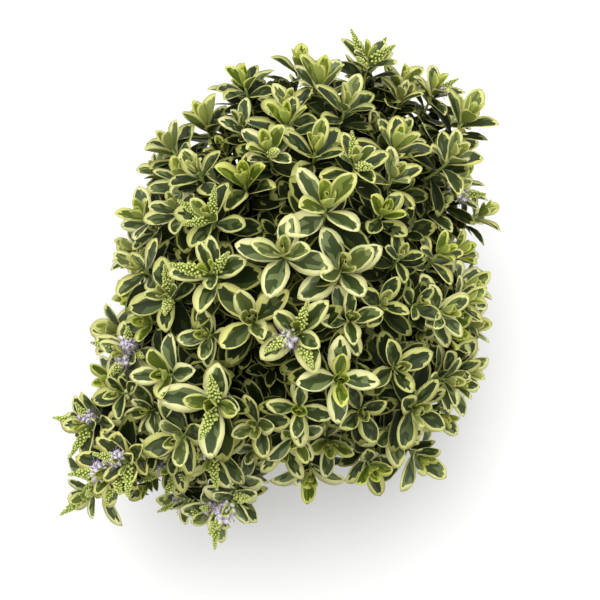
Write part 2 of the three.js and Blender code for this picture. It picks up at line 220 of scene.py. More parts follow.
POT_PLASTIC = GrainedFinish(
    "pot_plastic_dusty", dark=(24, 24, 22), light=(46, 44, 40), grain=28, fine_grain=420,
    roughness=0.5, rough_spread=0.1, relief=0.00025,
)
COMPOST = GrainedFinish(
    "compost_moist", dark=(26, 18, 13), light=(82, 62, 44), grain=160, fine_grain=900,
    roughness=0.9, rough_spread=0.06, relief=0.0016, specular=0.25,
)
BARK_CRUMB = GrainedFinish(
    "compost_bark_crumb", dark=(58, 40, 26), light=(118, 88, 60), grain=220, fine_grain=900,
    roughness=0.85, rough_spread=0.08, relief=0.0008, specular=0.3,
)
PERLITE = PlainFinish("compost_perlite", (206, 202, 190), 0.9, 0.3)
BARK = GrainedFinish(
    "hebe_bark", dark=(74, 62, 46), light=(142, 126, 94), grain=130, fine_grain=1100,
    roughness=0.8, rough_spread=0.08, relief=0.0007, specular=0.3,
)


# Leaves this rough or rougher are dull: the old ones, and every underside.
DULL_FROM = 0.5
LEAF_SHINE = 0.3
DULL_SHINE = 0.08
UNDERSIDE_ROUGHNESS = 0.7


@dataclass(frozen=True)
class LeafTones:
    """The four plain tones of one variegated leaf."""

    margin: PlainFinish
    middle: PlainFinish
    heart: PlainFinish
    underside: PlainFinish

    def finishes(self) -> list[PlainFinish]:
        """Returns the tones in the order of a leaf pattern's zones."""
        return [self.margin, self.middle, self.heart, self.underside]


def leaf_tones(
    name: str, margin: Colour, middle: Colour, heart: Colour, under: Colour, roughness: float
) -> LeafTones:
    """Names the four tones of one kind of leaf.

    Args:
        name: The kind.
        margin: The tone of its rim.
        middle: The mottled tone between rim and heart.
        heart: The tone along its midrib.
        under: The tone of its underside.
        roughness: The roughness of its upper side.

    Returns:
        The tones.
    """
    shine = LEAF_SHINE if roughness < DULL_FROM else DULL_SHINE
    return LeafTones(
        PlainFinish(f"leaf_{name}_margin", margin, roughness, shine),
        PlainFinish(f"leaf_{name}_middle", middle, roughness, shine),
        PlainFinish(f"leaf_{name}_heart", heart, roughness, shine),
        PlainFinish(f"leaf_{name}_underside", under, UNDERSIDE_ROUGHNESS, DULL_SHINE),
    )


class Age(Enum):
    """A leaf's age, or its depth in painted shade, which sets its pattern, posture and tones."""

    YOUNG = "young"
    FRESH = "fresh"
    PRIME = "prime"
    # Old leaves are darker partly with age and partly as painted shade.
    OLD = "old"
    # Deep leaves are near black as painted shade of the crown's inside, whatever their age.
    DEEP = "deep"


TONES: dict[Age, list[LeafTones]] = {
    Age.YOUNG: [
        leaf_tones("lime", (200, 205, 96), (160, 174, 66), (118, 138, 34), (166, 180, 86), 0.42),
        leaf_tones("spring", (206, 208, 112), (156, 168, 78), (122, 138, 48), (164, 176, 92), 0.42),
        leaf_tones("sallow", (208, 208, 126), (154, 162, 88), (124, 134, 60), (160, 168, 96), 0.43),
    ],
    Age.FRESH: [
        leaf_tones("fresh", (208, 210, 110), (130, 144, 52), (84, 104, 24), (132, 148, 62), 0.43),
        leaf_tones("gay", (209, 210, 126), (130, 141, 66), (88, 103, 36), (128, 142, 66), 0.43),
        leaf_tones("pale", (213, 214, 144), (130, 140, 80), (88, 100, 48), (130, 142, 74), 0.44),
    ],
    Age.PRIME: [
        leaf_tones("cream", (213, 212, 139), (100, 114, 64), (56, 70, 29), (116, 130, 60), 0.45),
        leaf_tones("butter", (211, 208, 123), (90, 103, 54), (49, 62, 24), (108, 122, 50), 0.45),
        leaf_tones("ivory", (219, 218, 154), (112, 125, 78), (62, 77, 36), (120, 134, 66), 0.45),
        # moss, the darkest prime tone, comes at random, and as painted shade to shaded masses.
        leaf_tones("moss", (190, 191, 112), (73, 88, 42), (39, 51, 19), (96, 110, 48), 0.48),
    ],
    # Old tones: darker with age and as painted shade; dusk is painted shade for shaded masses.
    Age.OLD: [
        leaf_tones("shade", (150, 152, 80), (50, 61, 22), (27, 37, 9), (74, 86, 38), 0.54),
        leaf_tones("dusk", (130, 133, 70), (39, 50, 17), (21, 30, 7), (62, 73, 32), 0.56),
    ],
    # Deep tones, near black, are painted shade of the crown's inside and of shaded masses.
    Age.DEEP: [
        leaf_tones("deep", (106, 111, 60), (29, 38, 13), (16, 23, 6), (56, 67, 30), 0.62),
        leaf_tones("depth", (86, 91, 48), (21, 29, 9), (11, 17, 4), (48, 58, 25), 0.62),
    ],
}
STEM_YOUNG = PlainFinish("stem_young", (140, 158, 76), 0.5)
STEM_OLD = PlainFinish("stem_old", (104, 98, 62), 0.65, 0.3)
BUD_GREEN = PlainFinish("bud_green", (146, 166, 52), 0.5)
BUD_TIP = PlainFinish("bud_tip", (208, 214, 126), 0.5)
PETAL = PlainFinish("petal_lilac", (228, 221, 235), 0.6, 0.3)
PETAL_PALE = PlainFinish("petal_pale", (245, 243, 245), 0.6, 0.3)
FILAMENT = PlainFinish("filament_purple", (164, 136, 176), 0.6, 0.3)
ANTHER = PlainFinish("anther_dark", (96, 74, 92), 0.7, 0.3)


# ---- Small helpers ---------------------------------------------------------------------


class Chance:
    """A repeatable stream of numbers from 0 to 1, the kind that the solids are grown with."""

    WHOLE = 0x100000000
    STEP = 0x6D2B79F5

    def __init__(self, seed: int) -> None:
        """Starts the stream.

        Args:
            seed: Any whole number.
        """
        self.state = seed % self.WHOLE

    def next(self) -> float:
        """Draws the next number.

        Returns:
            The number.
        """
        self.state = (self.state + self.STEP) % self.WHOLE
        t = (self.state ^ (self.state >> 15)) * (self.state | 1) % self.WHOLE
        t ^= (t + (t ^ (t >> 7)) * (t | 61)) % self.WHOLE
        return ((t ^ (t >> 14)) % self.WHOLE) / self.WHOLE

    def between(self, low: float, high: float) -> float:
        """Returns the next number, from low to high."""
        return low + (high - low) * self.next()


def direction(bearing: float, lean: float) -> Vector:
    """Turns a bearing and a lean into a direction.

    Args:
        bearing: Degrees from +X towards +Y.
        lean: Degrees from upright.

    Returns:
        The unit vector.
    """
    outward, upward = math.sin(math.radians(lean)), math.cos(math.radians(lean))
    around = math.radians(bearing)
    return Vector((outward * math.cos(around), outward * math.sin(around), upward))


def leaning(stem: Vector, rank: Vector, angle: float) -> Vector:
    """Returns the direction that is angle, in radians, away from stem towards rank."""
    return stem * math.cos(angle) + rank * math.sin(angle)


def across(stem: Vector) -> Vector:
    """Returns a level direction square to a stem, or +X where the stem is upright."""
    level = stem.cross(UP)
    return level.normalized() if level.length > LEAST_LEVEL else Vector((1, 0, 0))


def turned_about(vector: Vector, axis: Vector, angle: float) -> Vector:
    """Returns a vector turned about an axis by an angle in radians."""
    return Matrix.Rotation(angle, 3, axis) @ vector


def facing(foot: Vector, forward: Vector, face: Vector) -> Matrix:
    """Places a pattern that lies along +X with its upper side towards +Z.

    Args:
        foot: Where the pattern's origin goes.
        forward: Where its +X points.
        face: Roughly where its +Z points.

    Returns:
        The matrix.
    """
    side = face.cross(forward).normalized()
    upper = forward.cross(side)
    turn = Matrix((forward, side, upper)).transposed().to_4x4()
    return Matrix.Translation(foot) @ turn


def read(profile: Sequence[Span], at: float) -> float:
    """Reads a profile of (place, value) pairs at a place, in straight runs."""
    for (low, first), (high, second) in zip(profile, profile[1:]):
        if at <= high:
            return first + (second - first) * (at - low) / (high - low)
    return profile[-1][1]


class Line:
    """A smooth cubic line, read by share of its length."""

    STEPS = 60

    def __init__(self, start: Vector, leaving: Vector, arriving: Vector, end: Vector) -> None:
        """Measures the line.

        Args:
            start: Its first point.
            leaving: The handle of its first point.
            arriving: The handle of its last point.
            end: Its last point.
        """
        self.controls = (start, leaving, arriving, end)
        points = [self._at(i / self.STEPS) for i in range(self.STEPS + 1)]
        self.reached = [0.0]
        for last, point in zip(points, points[1:]):
            self.reached.append(self.reached[-1] + (point - last).length)

    @property
    def length(self) -> float:
        """The line's length."""
        return self.reached[-1]

    def _at(self, t: float) -> Vector:
        """Finds a point by the line's own parameter.

        Args:
            t: The parameter, from 0 to 1.

        Returns:
            The point.
        """
        a, b, c, d = self.controls
        u = 1 - t
        return a * u**3 + b * (3 * u * u * t) + c * (3 * u * t * t) + d * t**3

    def _parameter(self, share: float) -> float:
        """Turns a share of the length into the line's own parameter.

        Args:
            share: The share, from 0 to 1.

        Returns:
            The parameter.
        """
        goal = min(max(share, 0.0), 1.0) * self.length
        i = min(max(bisect_left(self.reached, goal), 1), self.STEPS)
        low, high = self.reached[i - 1], self.reached[i]
        return (i - 1 + (goal - low) / max(high - low, TINY)) / self.STEPS

    def point(self, share: float) -> Vector:
        """Returns the point at a share of the length."""
        return self._at(self._parameter(share))

    def tangent(self, share: float) -> Vector:
        """Finds the line's heading.

        Args:
            share: The share of the length at which it is wanted.

        Returns:
            The unit vector.
        """
        t = self._parameter(share)
        a, b, c, d = self.controls
        u = 1 - t
        slope = (b - a) * (u * u) + (c - b) * (2 * u * t) + (d - c) * (t * t)
        return slope.normalized()

    def frames(self, count: int) -> list[Matrix]:
        """Makes places along the line that turn as little as they can.

        Args:
            count: How many, from the first point to the last.

        Returns:
            Matrices whose +Z runs along the line.
        """
        made = []
        side = self.tangent(0).orthogonal()
        for i in range(count):
            share = i / (count - 1)
            heading = self.tangent(share)
            side = (side - heading * side.dot(heading)).normalized()
            across = heading.cross(side)
            turn = Matrix((side, across, heading)).transposed().to_4x4()
            made.append(Matrix.Translation(self.point(share)) @ turn)
        return made


def mesh_of(bm: bmesh.types.BMesh, name: str) -> bpy.types.Mesh:
    """Turns a bmesh into a smooth mesh and frees it.

    Args:
        bm: The bmesh.
        name: The mesh's name.

    Returns:
        The mesh.
    """
    for face in bm.faces:
        face.smooth = True
    made = bpy.data.meshes.new(name)
    bm.to_mesh(made)
    bm.free()
    return made


def in_order(bm: bmesh.types.BMesh) -> bmesh.types.BMesh:
    """Lists corners, edges and faces by their places, because spinning leaves them in any order.

    Args:
        bm: The bmesh, which is changed.

    Returns:
        The same bmesh, the same at each run.
    """
    for index, vert in enumerate(sorted(bm.verts, key=lambda vert: tuple(vert.co))):
        vert.index = index
    bm.verts.sort()
    for kind in (bm.edges, bm.faces):
        listed = sorted(kind, key=lambda part: sorted(vert.index for vert in part.verts))
        for index, part in enumerate(listed):
            part.index = index
        kind.sort()
    return bm


def tube(
    line: Line, radii: Sequence[float], sides: int, young_from: float = math.inf
) -> bpy.types.Mesh:
    """Makes a closed round limb along a line.

    Args:
        line: Its middle line.
        radii: Its radius at even steps.
        sides: How many sides it has.
        young_from: The share of its length from which it takes its second slot, if any.

    Returns:
        The mesh.
    """
    bm = bmesh.new()
    places = [
        frame @ Matrix.Diagonal((radius, radius, 1, 1))
        for frame, radius in zip(line.frames(len(radii)), radii)
    ]
    bmesh.ops.create_cone(bm, cap_ends=True, segments=sides, radius1=1, radius2=1, depth=2)
    lower = [v for v in bm.verts if v.co.z < 0]
    upper = [v for v in bm.verts if v.co.z > 0]
    cap = next(f for f in bm.faces if all(v.co.z > 0 for v in f.verts))
    for ring, place in ((lower, places[0]), (upper, places[1])):
        bmesh.ops.translate(bm, vec=(0, 0, -ring[0].co.z), verts=ring)
        bmesh.ops.transform(bm, matrix=place, verts=ring)
    for i in range(2, len(places)):
        cap = bmesh.ops.extrude_discrete_faces(bm, faces=[cap])["faces"][0]
        bmesh.ops.transform(bm, matrix=places[i] @ places[i - 1].inverted(), verts=cap.verts[:])
        if i / (len(places) - 1) > young_from:
            for edge in cap.edges:
                for face in edge.link_faces:
                    face.material_index = 1
    bmesh.ops.recalc_face_normals(bm, faces=bm.faces[:])
    return mesh_of(bm, "limb_pattern")


def roughened(mesh: bpy.types.Mesh, height: float, grain: float) -> bpy.types.Mesh:
    """Gives a mesh the relief of bark: broad swellings and finer ridges.

    Args:
        mesh: A closed mesh, which is changed.
        height: How far the relief stands out or in.
        grain: The size of its ridges.

    Returns:
        The same mesh.
    """
    broad_share, fine_share = 0.7, 0.5
    finer, aside = 2.7, Vector((9.0, 4.0, 1.0))
    bm = bmesh.new()
    bm.from_mesh(mesh)
    bm.normal_update()
    moves = []
    for vert in bm.verts:
        broad = noise.noise(vert.co / grain)
        ridges = abs(noise.noise(vert.co * (finer / grain) + aside))
        moves.append(vert.normal * height * (broad_share * broad + fine_share * ridges))
    for vert, move in zip(bm.verts, moves):
        vert.co += move
    bm.to_mesh(mesh)
    bm.free()
    return mesh


class Piece:
    """Gathers copies of patterns into one finished piece."""

    def __init__(self, name: str) -> None:
        """Starts an empty piece.

        Args:
            name: The piece's name in the scene.
        """
        self.name = name
        self.bm = bmesh.new()
        self.finishes: list[Finish] = []

    def add(
        self, pattern: bpy.types.Mesh, finishes: Sequence[Finish], place: Matrix | None = None
    ) -> None:
        """Adds one copy of a pattern.

        Args:
            pattern: The mesh to copy.
            finishes: What its slots are finished with.
            place: Where the copy goes.
        """
        for finish in finishes:
            if finish not in self.finishes:
                self.finishes.append(finish)
        slots = [self.finishes.index(finish) for finish in finishes]
        verts_before, faces_before = len(self.bm.verts), len(self.bm.faces)
        self.bm.from_mesh(pattern)
        self.bm.verts.ensure_lookup_table()
        self.bm.faces.ensure_lookup_table()
        if place is not None:
            bmesh.ops.transform(self.bm, matrix=place, verts=self.bm.verts[verts_before:])
        for face in self.bm.faces[faces_before:]:
            face.material_index = slots[face.material_index]

    def placed(self, slot: str, *nodes: str) -> bpy.types.Object:
        """Makes the piece's object, in metres, and has it ride on its body.

        Args:
            slot: The name of a material slot. It is not used.
            nodes: The solids that it stands for.

        Returns:
            The object.
        """
        bmesh.ops.scale(self.bm, vec=(MM, MM, MM), verts=self.bm.verts[:])
        mesh = bpy.data.meshes.new(self.name)
        self.bm.to_mesh(mesh)
        self.bm.free()
        for finish in self.finishes:
            mesh.materials.append(finish.material())
        made = bpy.data.objects.new(self.name, mesh)
        bpy.context.scene.collection.objects.link(made)
        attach(made, BODY)
        if nodes:
            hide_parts(*nodes)
        log.info("%s: %d faces", self.name, len(mesh.polygons))
        return made


# ---- Leaves ----------------------------------------------------------------------------


FINE_CUT = (0, 0.13, 0.28, 0.42, 0.55, 0.68, 0.81, 0.93, 1)
PLAIN_CUT = (0, 0.18, 0.38, 0.58, 0.76, 0.9, 1)
COARSE_CUT = (0, 0.22, 0.48, 0.72, 0.9, 1)


@dataclass(frozen=True)
class Posture:
    """How a leaf of one age is cut, cupped and bent, and how its zones run.

    The cut lists its crosswise lines, as shares of its length. The rim and the heart are ranges
    for the two edges of the middle zone, as shares of half width, and the tongues say how far
    these edges stray. Dark is the chance that the lane along the midrib has the heart's tone.
    Mottle is the chance that the lane beyond it changes its tone from one line to the next.
    """

    cut: tuple[float, ...]
    fold: float
    cup: float
    droop: float
    rim: Span
    heart: Span
    tongues: Span
    dark: float
    mottle: float


POSTURES = {
    Age.YOUNG: Posture(
        PLAIN_CUT, fold=0.36, cup=1.1, droop=-0.16,
        rim=(0.5, 0.8), heart=(0.22, 0.42), tongues=(0.03, 0.1), dark=0.7, mottle=0.2,
    ),
    Age.FRESH: Posture(
        FINE_CUT, fold=0.3, cup=0.8, droop=-0.02,
        rim=(0.5, 0.86), heart=(0.24, 0.5), tongues=(0.04, 0.14), dark=0.78, mottle=0.24,
    ),
    Age.PRIME: Posture(
        FINE_CUT, fold=0.24, cup=0.5, droop=0.16,
        rim=(0.46, 0.9), heart=(0.26, 0.6), tongues=(0.06, 0.19), dark=0.8, mottle=0.34,
    ),
    Age.OLD: Posture(
        PLAIN_CUT, fold=0.14, cup=0.2, droop=0.27,
        rim=(0.78, 0.92), heart=(0.4, 0.66), tongues=(0.02, 0.1), dark=0.75, mottle=0.25,
    ),
    Age.DEEP: Posture(
        COARSE_CUT, fold=0.1, cup=0.1, droop=0.2,
        rim=(0.84, 0.92), heart=(0.5, 0.7), tongues=(0.02, 0.06), dark=0.8, mottle=0.2,
    ),
}


class Zone(IntEnum):
    """The slots of a leaf pattern."""

    MARGIN = 0
    MIDDLE = 1
    HEART = 2
    UNDERSIDE = 3

    def swapped(self) -> Zone:
        """Returns the middle zone for the heart, and the heart for the middle zone."""
        return Zone.MIDDLE if self is Zone.HEART else Zone.HEART


Edges = list[Span]
Streaks = list[tuple[Zone, Zone]]


@dataclass(frozen=True)
class LeafPattern:
    """A leaf of unit length along +X, in its own outline, with its zones as faces.

    Lengthwise lines stand at the rim, the edge of the rim's pale band, the edge of the dark
    heart and the midrib. Crosswise lines slant forwards like the side veins, so a zone whose
    edge moves in and out from line to line ends in tongues.
    """

    age: Age
    seed: int
    outline: tuple[Span, ...] = (
        (0, 0),
        (0.03, 0.028),
        (0.12, 0.082),
        (0.2, 0.135),
        (0.3, 0.186),
        (0.42, 0.232),
        (0.54, 0.257),
        (0.64, 0.258),
        (0.74, 0.242),
        (0.83, 0.207),
        (0.91, 0.152),
        (0.965, 0.084),
        (1, 0),
    )
    lanes: int = 3
    slant: float = 0.32
    slant_power: float = 0.8
    groove: float = 0.02
    wave: float = 0.012
    ripples: float = 11.0
    ripple_skew: float = 2.0
    thickness: float = 0.03
    under_lines: tuple[Span, ...] = ((0, 1), (0.72, 0.55), (1, 0))
    weld: float = 1e-4
    # How the zones' edges stray: to and fro, now and then with a notch, and inwards at the tip.
    turn_chance: float = 0.5
    stray: Span = (0.1, 1)
    notch_chance: float = 0.14
    notch: float = 0.9
    heart_stray: float = 0.9
    tip_from: float = 0.66
    tip_run: float = 0.34
    tip_narrowing: float = 0.56
    rim_limits: Span = (0.24, 0.93)
    heart_least: float = 0.08
    middle_least: float = 0.07
    # How often the outer lane starts in the other tone than the inner one, the inner lane's
    # share of the mottle, and how often the outer lane ends one row from the tip, not two.
    contrast: float = 0.7
    near_mottle: float = 0.6
    long_lane: float = 0.66

    def _surface(self, share: float, side: float) -> Vector:
        """Finds a point of the upper side.

        Args:
            share: Its place along the leaf, as a share of the length.
            side: Its place across the leaf, as a share of the half width, from -1 to 1.

        Returns:
            The point.
        """
        posture = POSTURES[self.age]
        out = abs(side)
        room = math.sin(math.pi * share) ** self.slant_power if 0 < share < 1 else 0.0
        ahead = share + self.slant * (out - 0.5) * room
        wide = read(self.outline, ahead) * side
        ripple = math.sin(self.ripples * ahead + self.seed + self.ripple_skew * side)
        lift = posture.fold * abs(wide) + posture.cup * wide * wide
        lift += self.wave * out * out * room * ripple
        return Vector((ahead, wide, lift - posture.droop * ahead * ahead))

    def _zones(self, chance: Chance) -> Edges:
        """Draws the edges of the heart and of the rim band, line by line.

        Args:
            chance: Where the draws come from.

        Returns:
            The heart's edge and the rim band's edge, as shares of half width.
        """
        posture = POSTURES[self.age]
        rim = chance.between(*posture.rim)
        heart = chance.between(*posture.heart)
        tongues = chance.between(*posture.tongues)
        way = 1 if chance.next() < self.turn_chance else -1
        least, most = self.rim_limits
        made = []
        for station in posture.cut:
            way = -way if chance.next() < self.turn_chance else way
            reach = way * tongues * chance.between(*self.stray)
            reach -= self.notch * tongues if chance.next() < self.notch_chance else 0
            narrow = 1 - self.tip_narrowing * max(0.0, station - self.tip_from) / self.tip_run
            outer = min(max(rim * narrow + reach, least), most)
            stray = tongues * chance.between(-self.heart_stray, self.heart_stray)
            inner = min(max(heart * narrow + stray, self.heart_least), outer - self.middle_least)
            made.append((inner, outer))
        return made

    def _streaks(self, rows: int, chance: Chance) -> Streaks:
        """Draws the tones of one half's two inner lanes, which end in the pale margin.

        Args:
            rows: The number of rows.
            chance: Where the draws come from.

        Returns:
            The zone beside the midrib and the zone beyond it, row by row.
        """
        posture = POSTURES[self.age]
        plain = Zone.HEART if chance.next() < posture.dark else Zone.MIDDLE
        beyond = plain.swapped() if chance.next() < self.contrast else plain
        ends = rows - (1 if chance.next() < self.long_lane else 2)
        made = []
        for row in range(rows):
            near = plain.swapped() if chance.next() < self.near_mottle * posture.mottle else plain
            beyond = beyond.swapped() if chance.next() < posture.mottle else beyond
            if row == rows - 1:
                made.append((Zone.MARGIN, Zone.MARGIN))
            elif row >= ends:
                made.append((near, Zone.MARGIN))
            else:
                made.append((near, beyond))
        return made

    def mesh(self) -> bpy.types.Mesh:
        """Makes the pattern.

        Returns:
            A closed mesh whose slots are the zones.
        """
        chance = Chance(self.seed)
        rows = len(POSTURES[self.age].cut) - 1
        zones = {side: self._zones(chance) for side in (1, -1)}
        streaks = {side: self._streaks(rows, chance) for side in (1, -1)}
        bm = bmesh.new()
        self._lay_upper(bm, zones, streaks)
        self._lay_under(bm)
        bmesh.ops.remove_doubles(bm, verts=bm.verts[:], dist=self.weld)
        return mesh_of(bm, f"leaf_pattern_{self.age.value}_{self.seed}")

    def _grid(
        self, bm: bmesh.types.BMesh, lanes: int
    ) -> dict[bmesh.types.BMVert, tuple[int, int]]:
        """Adds a flat grid, one row to a piece of the cut.

        Args:
            bm: Where it goes.
            lanes: How many lanes each half has.

        Returns:
            The crosswise and the lengthwise line that each corner is on.
        """
        rows = len(POSTURES[self.age].cut) - 1
        made = bmesh.ops.create_grid(bm, x_segments=rows, y_segments=2 * lanes, size=0.5)
        return {
            vert: (round((vert.co.x + 0.5) * rows), round(vert.co.y * 2 * lanes))
            for vert in made["verts"]
        }

    def _lay_upper(
        self, bm: bmesh.types.BMesh, zones: dict[int, Edges], streaks: dict[int, Streaks]
    ) -> None:
        """Lays the upper side, with its rim and its midrib sharp.

        Args:
            bm: Where it goes.
            zones: The edges of each half's zones.
            streaks: The tones of each half's lanes.
        """
        cut = POSTURES[self.age].cut
        lines = self._grid(bm, self.lanes)
        for vert, (i, j) in lines.items():
            inner, outer = zones[1 if j >= 0 else -1][i]
            vert.co = self._surface(cut[i], math.copysign((0, inner, outer, 1)[abs(j)], j))
            if j == 0:
                vert.co.z -= self.groove * math.sin(math.pi * cut[i])
        for face in bm.faces:
            row = min(lines[v][0] for v in face.verts)
            lane = max(abs(lines[v][1]) for v in face.verts)
            side = 1 if max(lines[v][1] for v in face.verts) > 0 else -1
            rim = lane == self.lanes
            face.material_index = Zone.MARGIN if rim else streaks[side][row][lane - 1]
        for edge in bm.edges:
            if len(edge.link_faces) == 1 or all(lines[v][1] == 0 for v in edge.verts):
                edge.smooth = False

    def _lay_under(self, bm: bmesh.types.BMesh) -> None:
        """Lays the underside, deepest along the midrib, with the margin's tone at its rim.

        Args:
            bm: Where it goes.
        """
        cut = POSTURES[self.age].cut
        upper = len(bm.faces)
        rim = len(self.under_lines) - 1
        lines = self._grid(bm, rim)
        for vert, (i, j) in lines.items():
            across, depth = self.under_lines[abs(j)]
            vert.co = self._surface(cut[i], math.copysign(across, j))
            vert.co.z -= self.thickness * math.sin(math.pi * cut[i]) * depth
        lower = bm.faces[upper:]
        for face in lower:
            at_rim = max(abs(lines[v][1]) for v in face.verts) == rim
            face.material_index = Zone.MARGIN if at_rim else Zone.UNDERSIDE
        bmesh.ops.reverse_faces(bm, faces=lower)


# ---- Flower spikes ---------------------------------------------------------------------


class Part(IntEnum):
    """The slots of a raceme pattern."""

    STALK = 0
    BUD = 1
    BUD_TIP = 2
    PETAL = 3
    PALE_PETAL = 4
    FILAMENT = 5
    ANTHER = 6


RACEME_FINISHES = [STEM_YOUNG, BUD_GREEN, BUD_TIP, PETAL, PETAL_PALE, FILAMENT, ANTHER]
Z_TO_X = Matrix.Rotation(math.radians(90), 3, "Y")


def paint(verts: Iterable[bmesh.types.BMVert], part: Part) -> None:
    """Gives the faces round some corners one slot."""
    for face in {face for vert in verts for face in vert.link_faces}:
        face.material_index = part


@dataclass(frozen=True)
class Bud:
    """A closed bud along +X, narrow at its foot, with a pale tip."""

    middle: float = 3.9
    half_length: float = 2.9
    radius: float = 1.5
    foot: float = 0.5
    swelling: float = 0.5
    tip_from: float = 5.0

    def mesh(self) -> bpy.types.Mesh:
        """Makes the pattern.

        Returns:
            A mesh whose slots are a raceme's parts.
        """
        bm = bmesh.new()
        bmesh.ops.create_icosphere(bm, subdivisions=1, radius=1)
        bmesh.ops.rotate(bm, matrix=Z_TO_X, verts=bm.verts[:])
        for vert in bm.verts:
            x, y, z = vert.co
            girth = self.radius * min(1.0, self.foot + self.swelling * (x + 1))
            vert.co = Vector((self.middle + self.half_length * x, girth * y, girth * z))
        for face in bm.faces:
            at_tip = face.calc_center_median().x > self.tip_from
            face.material_index = Part.BUD_TIP if at_tip else Part.BUD
        return mesh_of(bm, "bud_pattern")


@dataclass(frozen=True)
class Flower:
    """An open flower that faces along +X: a tube, four petals and two stamens."""

    tube_length: float = 3.0
    tube_foot: float = 0.5
    tube_mouth: float = 0.8
    tube_sides: int = 5
    petals: int = 4
    petal_size: tuple[float, float, float] = (2.8, 2.0, 0.2)
    petal_out: float = 2.9
    petal_lift: float = 22.0
    filament: float = 8.5
    filament_foot: float = 0.2
    filament_tip: float = 0.14
    filament_middle: float = 4.0
    filament_from: float = 2.4
    anther: float = 0.42
    anther_at: float = 4.4
    stamen_spread: float = 0.36

    def mesh(self) -> bpy.types.Mesh:
        """Makes the pattern.

        Returns:
            A mesh whose slots are a raceme's parts.
        """
        bm = bmesh.new()
        made = bmesh.ops.create_cone(
            bm,
            cap_ends=True,
            segments=self.tube_sides,
            radius1=self.tube_foot,
            radius2=self.tube_mouth,
            depth=self.tube_length,
        )["verts"]
        bmesh.ops.translate(bm, vec=(0, 0, self.tube_length / 2), verts=made)
        paint(made, Part.PALE_PETAL)
        for k in range(self.petals):
            self._add_petal(bm, k)
        for side in (-1, 1):
            self._add_stamen(bm, side)
        bmesh.ops.rotate(bm, matrix=Z_TO_X, verts=bm.verts[:])
        return mesh_of(bm, "flower_pattern")

    def _add_petal(self, bm: bmesh.types.BMesh, k: int) -> None:
        """Adds one spread petal.

        Args:
            bm: Where it goes.
            k: Its place round the tube. The first petal is paler.
        """
        made = bmesh.ops.create_icosphere(bm, subdivisions=1, radius=1)["verts"]
        lift = Matrix.Rotation(math.radians(-self.petal_lift), 3, "Y")
        around = Matrix.Rotation(2 * math.pi * k / self.petals, 3, "Z")
        bmesh.ops.scale(bm, vec=self.petal_size, verts=made)
        bmesh.ops.translate(bm, vec=(self.petal_out, 0, 0), verts=made)
        bmesh.ops.rotate(bm, matrix=lift, verts=made)
        bmesh.ops.rotate(bm, matrix=around, verts=made)
        bmesh.ops.translate(bm, vec=(0, 0, self.tube_length), verts=made)
        paint(made, Part.PETAL if k else Part.PALE_PETAL)

    def _add_stamen(self, bm: bmesh.types.BMesh, side: int) -> None:
        """Adds one stamen, a filament that ends in its anther.

        Args:
            bm: Where it goes.
            side: The side that it leans to, 1 or -1.
        """
        filament = bmesh.ops.create_cone(
            bm,
            cap_ends=True,
            segments=3,
            radius1=self.filament_foot,
            radius2=self.filament_tip,
            depth=self.filament,
        )["verts"]
        paint(filament, Part.FILAMENT)
        anther = bmesh.ops.create_icosphere(bm, subdivisions=1, radius=self.anther)["verts"]
        paint(anther, Part.ANTHER)
        both = filament + anther
        tilt = Matrix.Rotation(side * self.stamen_spread, 3, "X")
        bmesh.ops.translate(bm, vec=(0, 0, self.anther_at), verts=anther)
        bmesh.ops.translate(bm, vec=(0, 0, self.filament_middle), verts=both)
        bmesh.ops.rotate(bm, matrix=tilt, verts=both)
        bmesh.ops.translate(bm, vec=(0, 0, self.filament_from), verts=both)


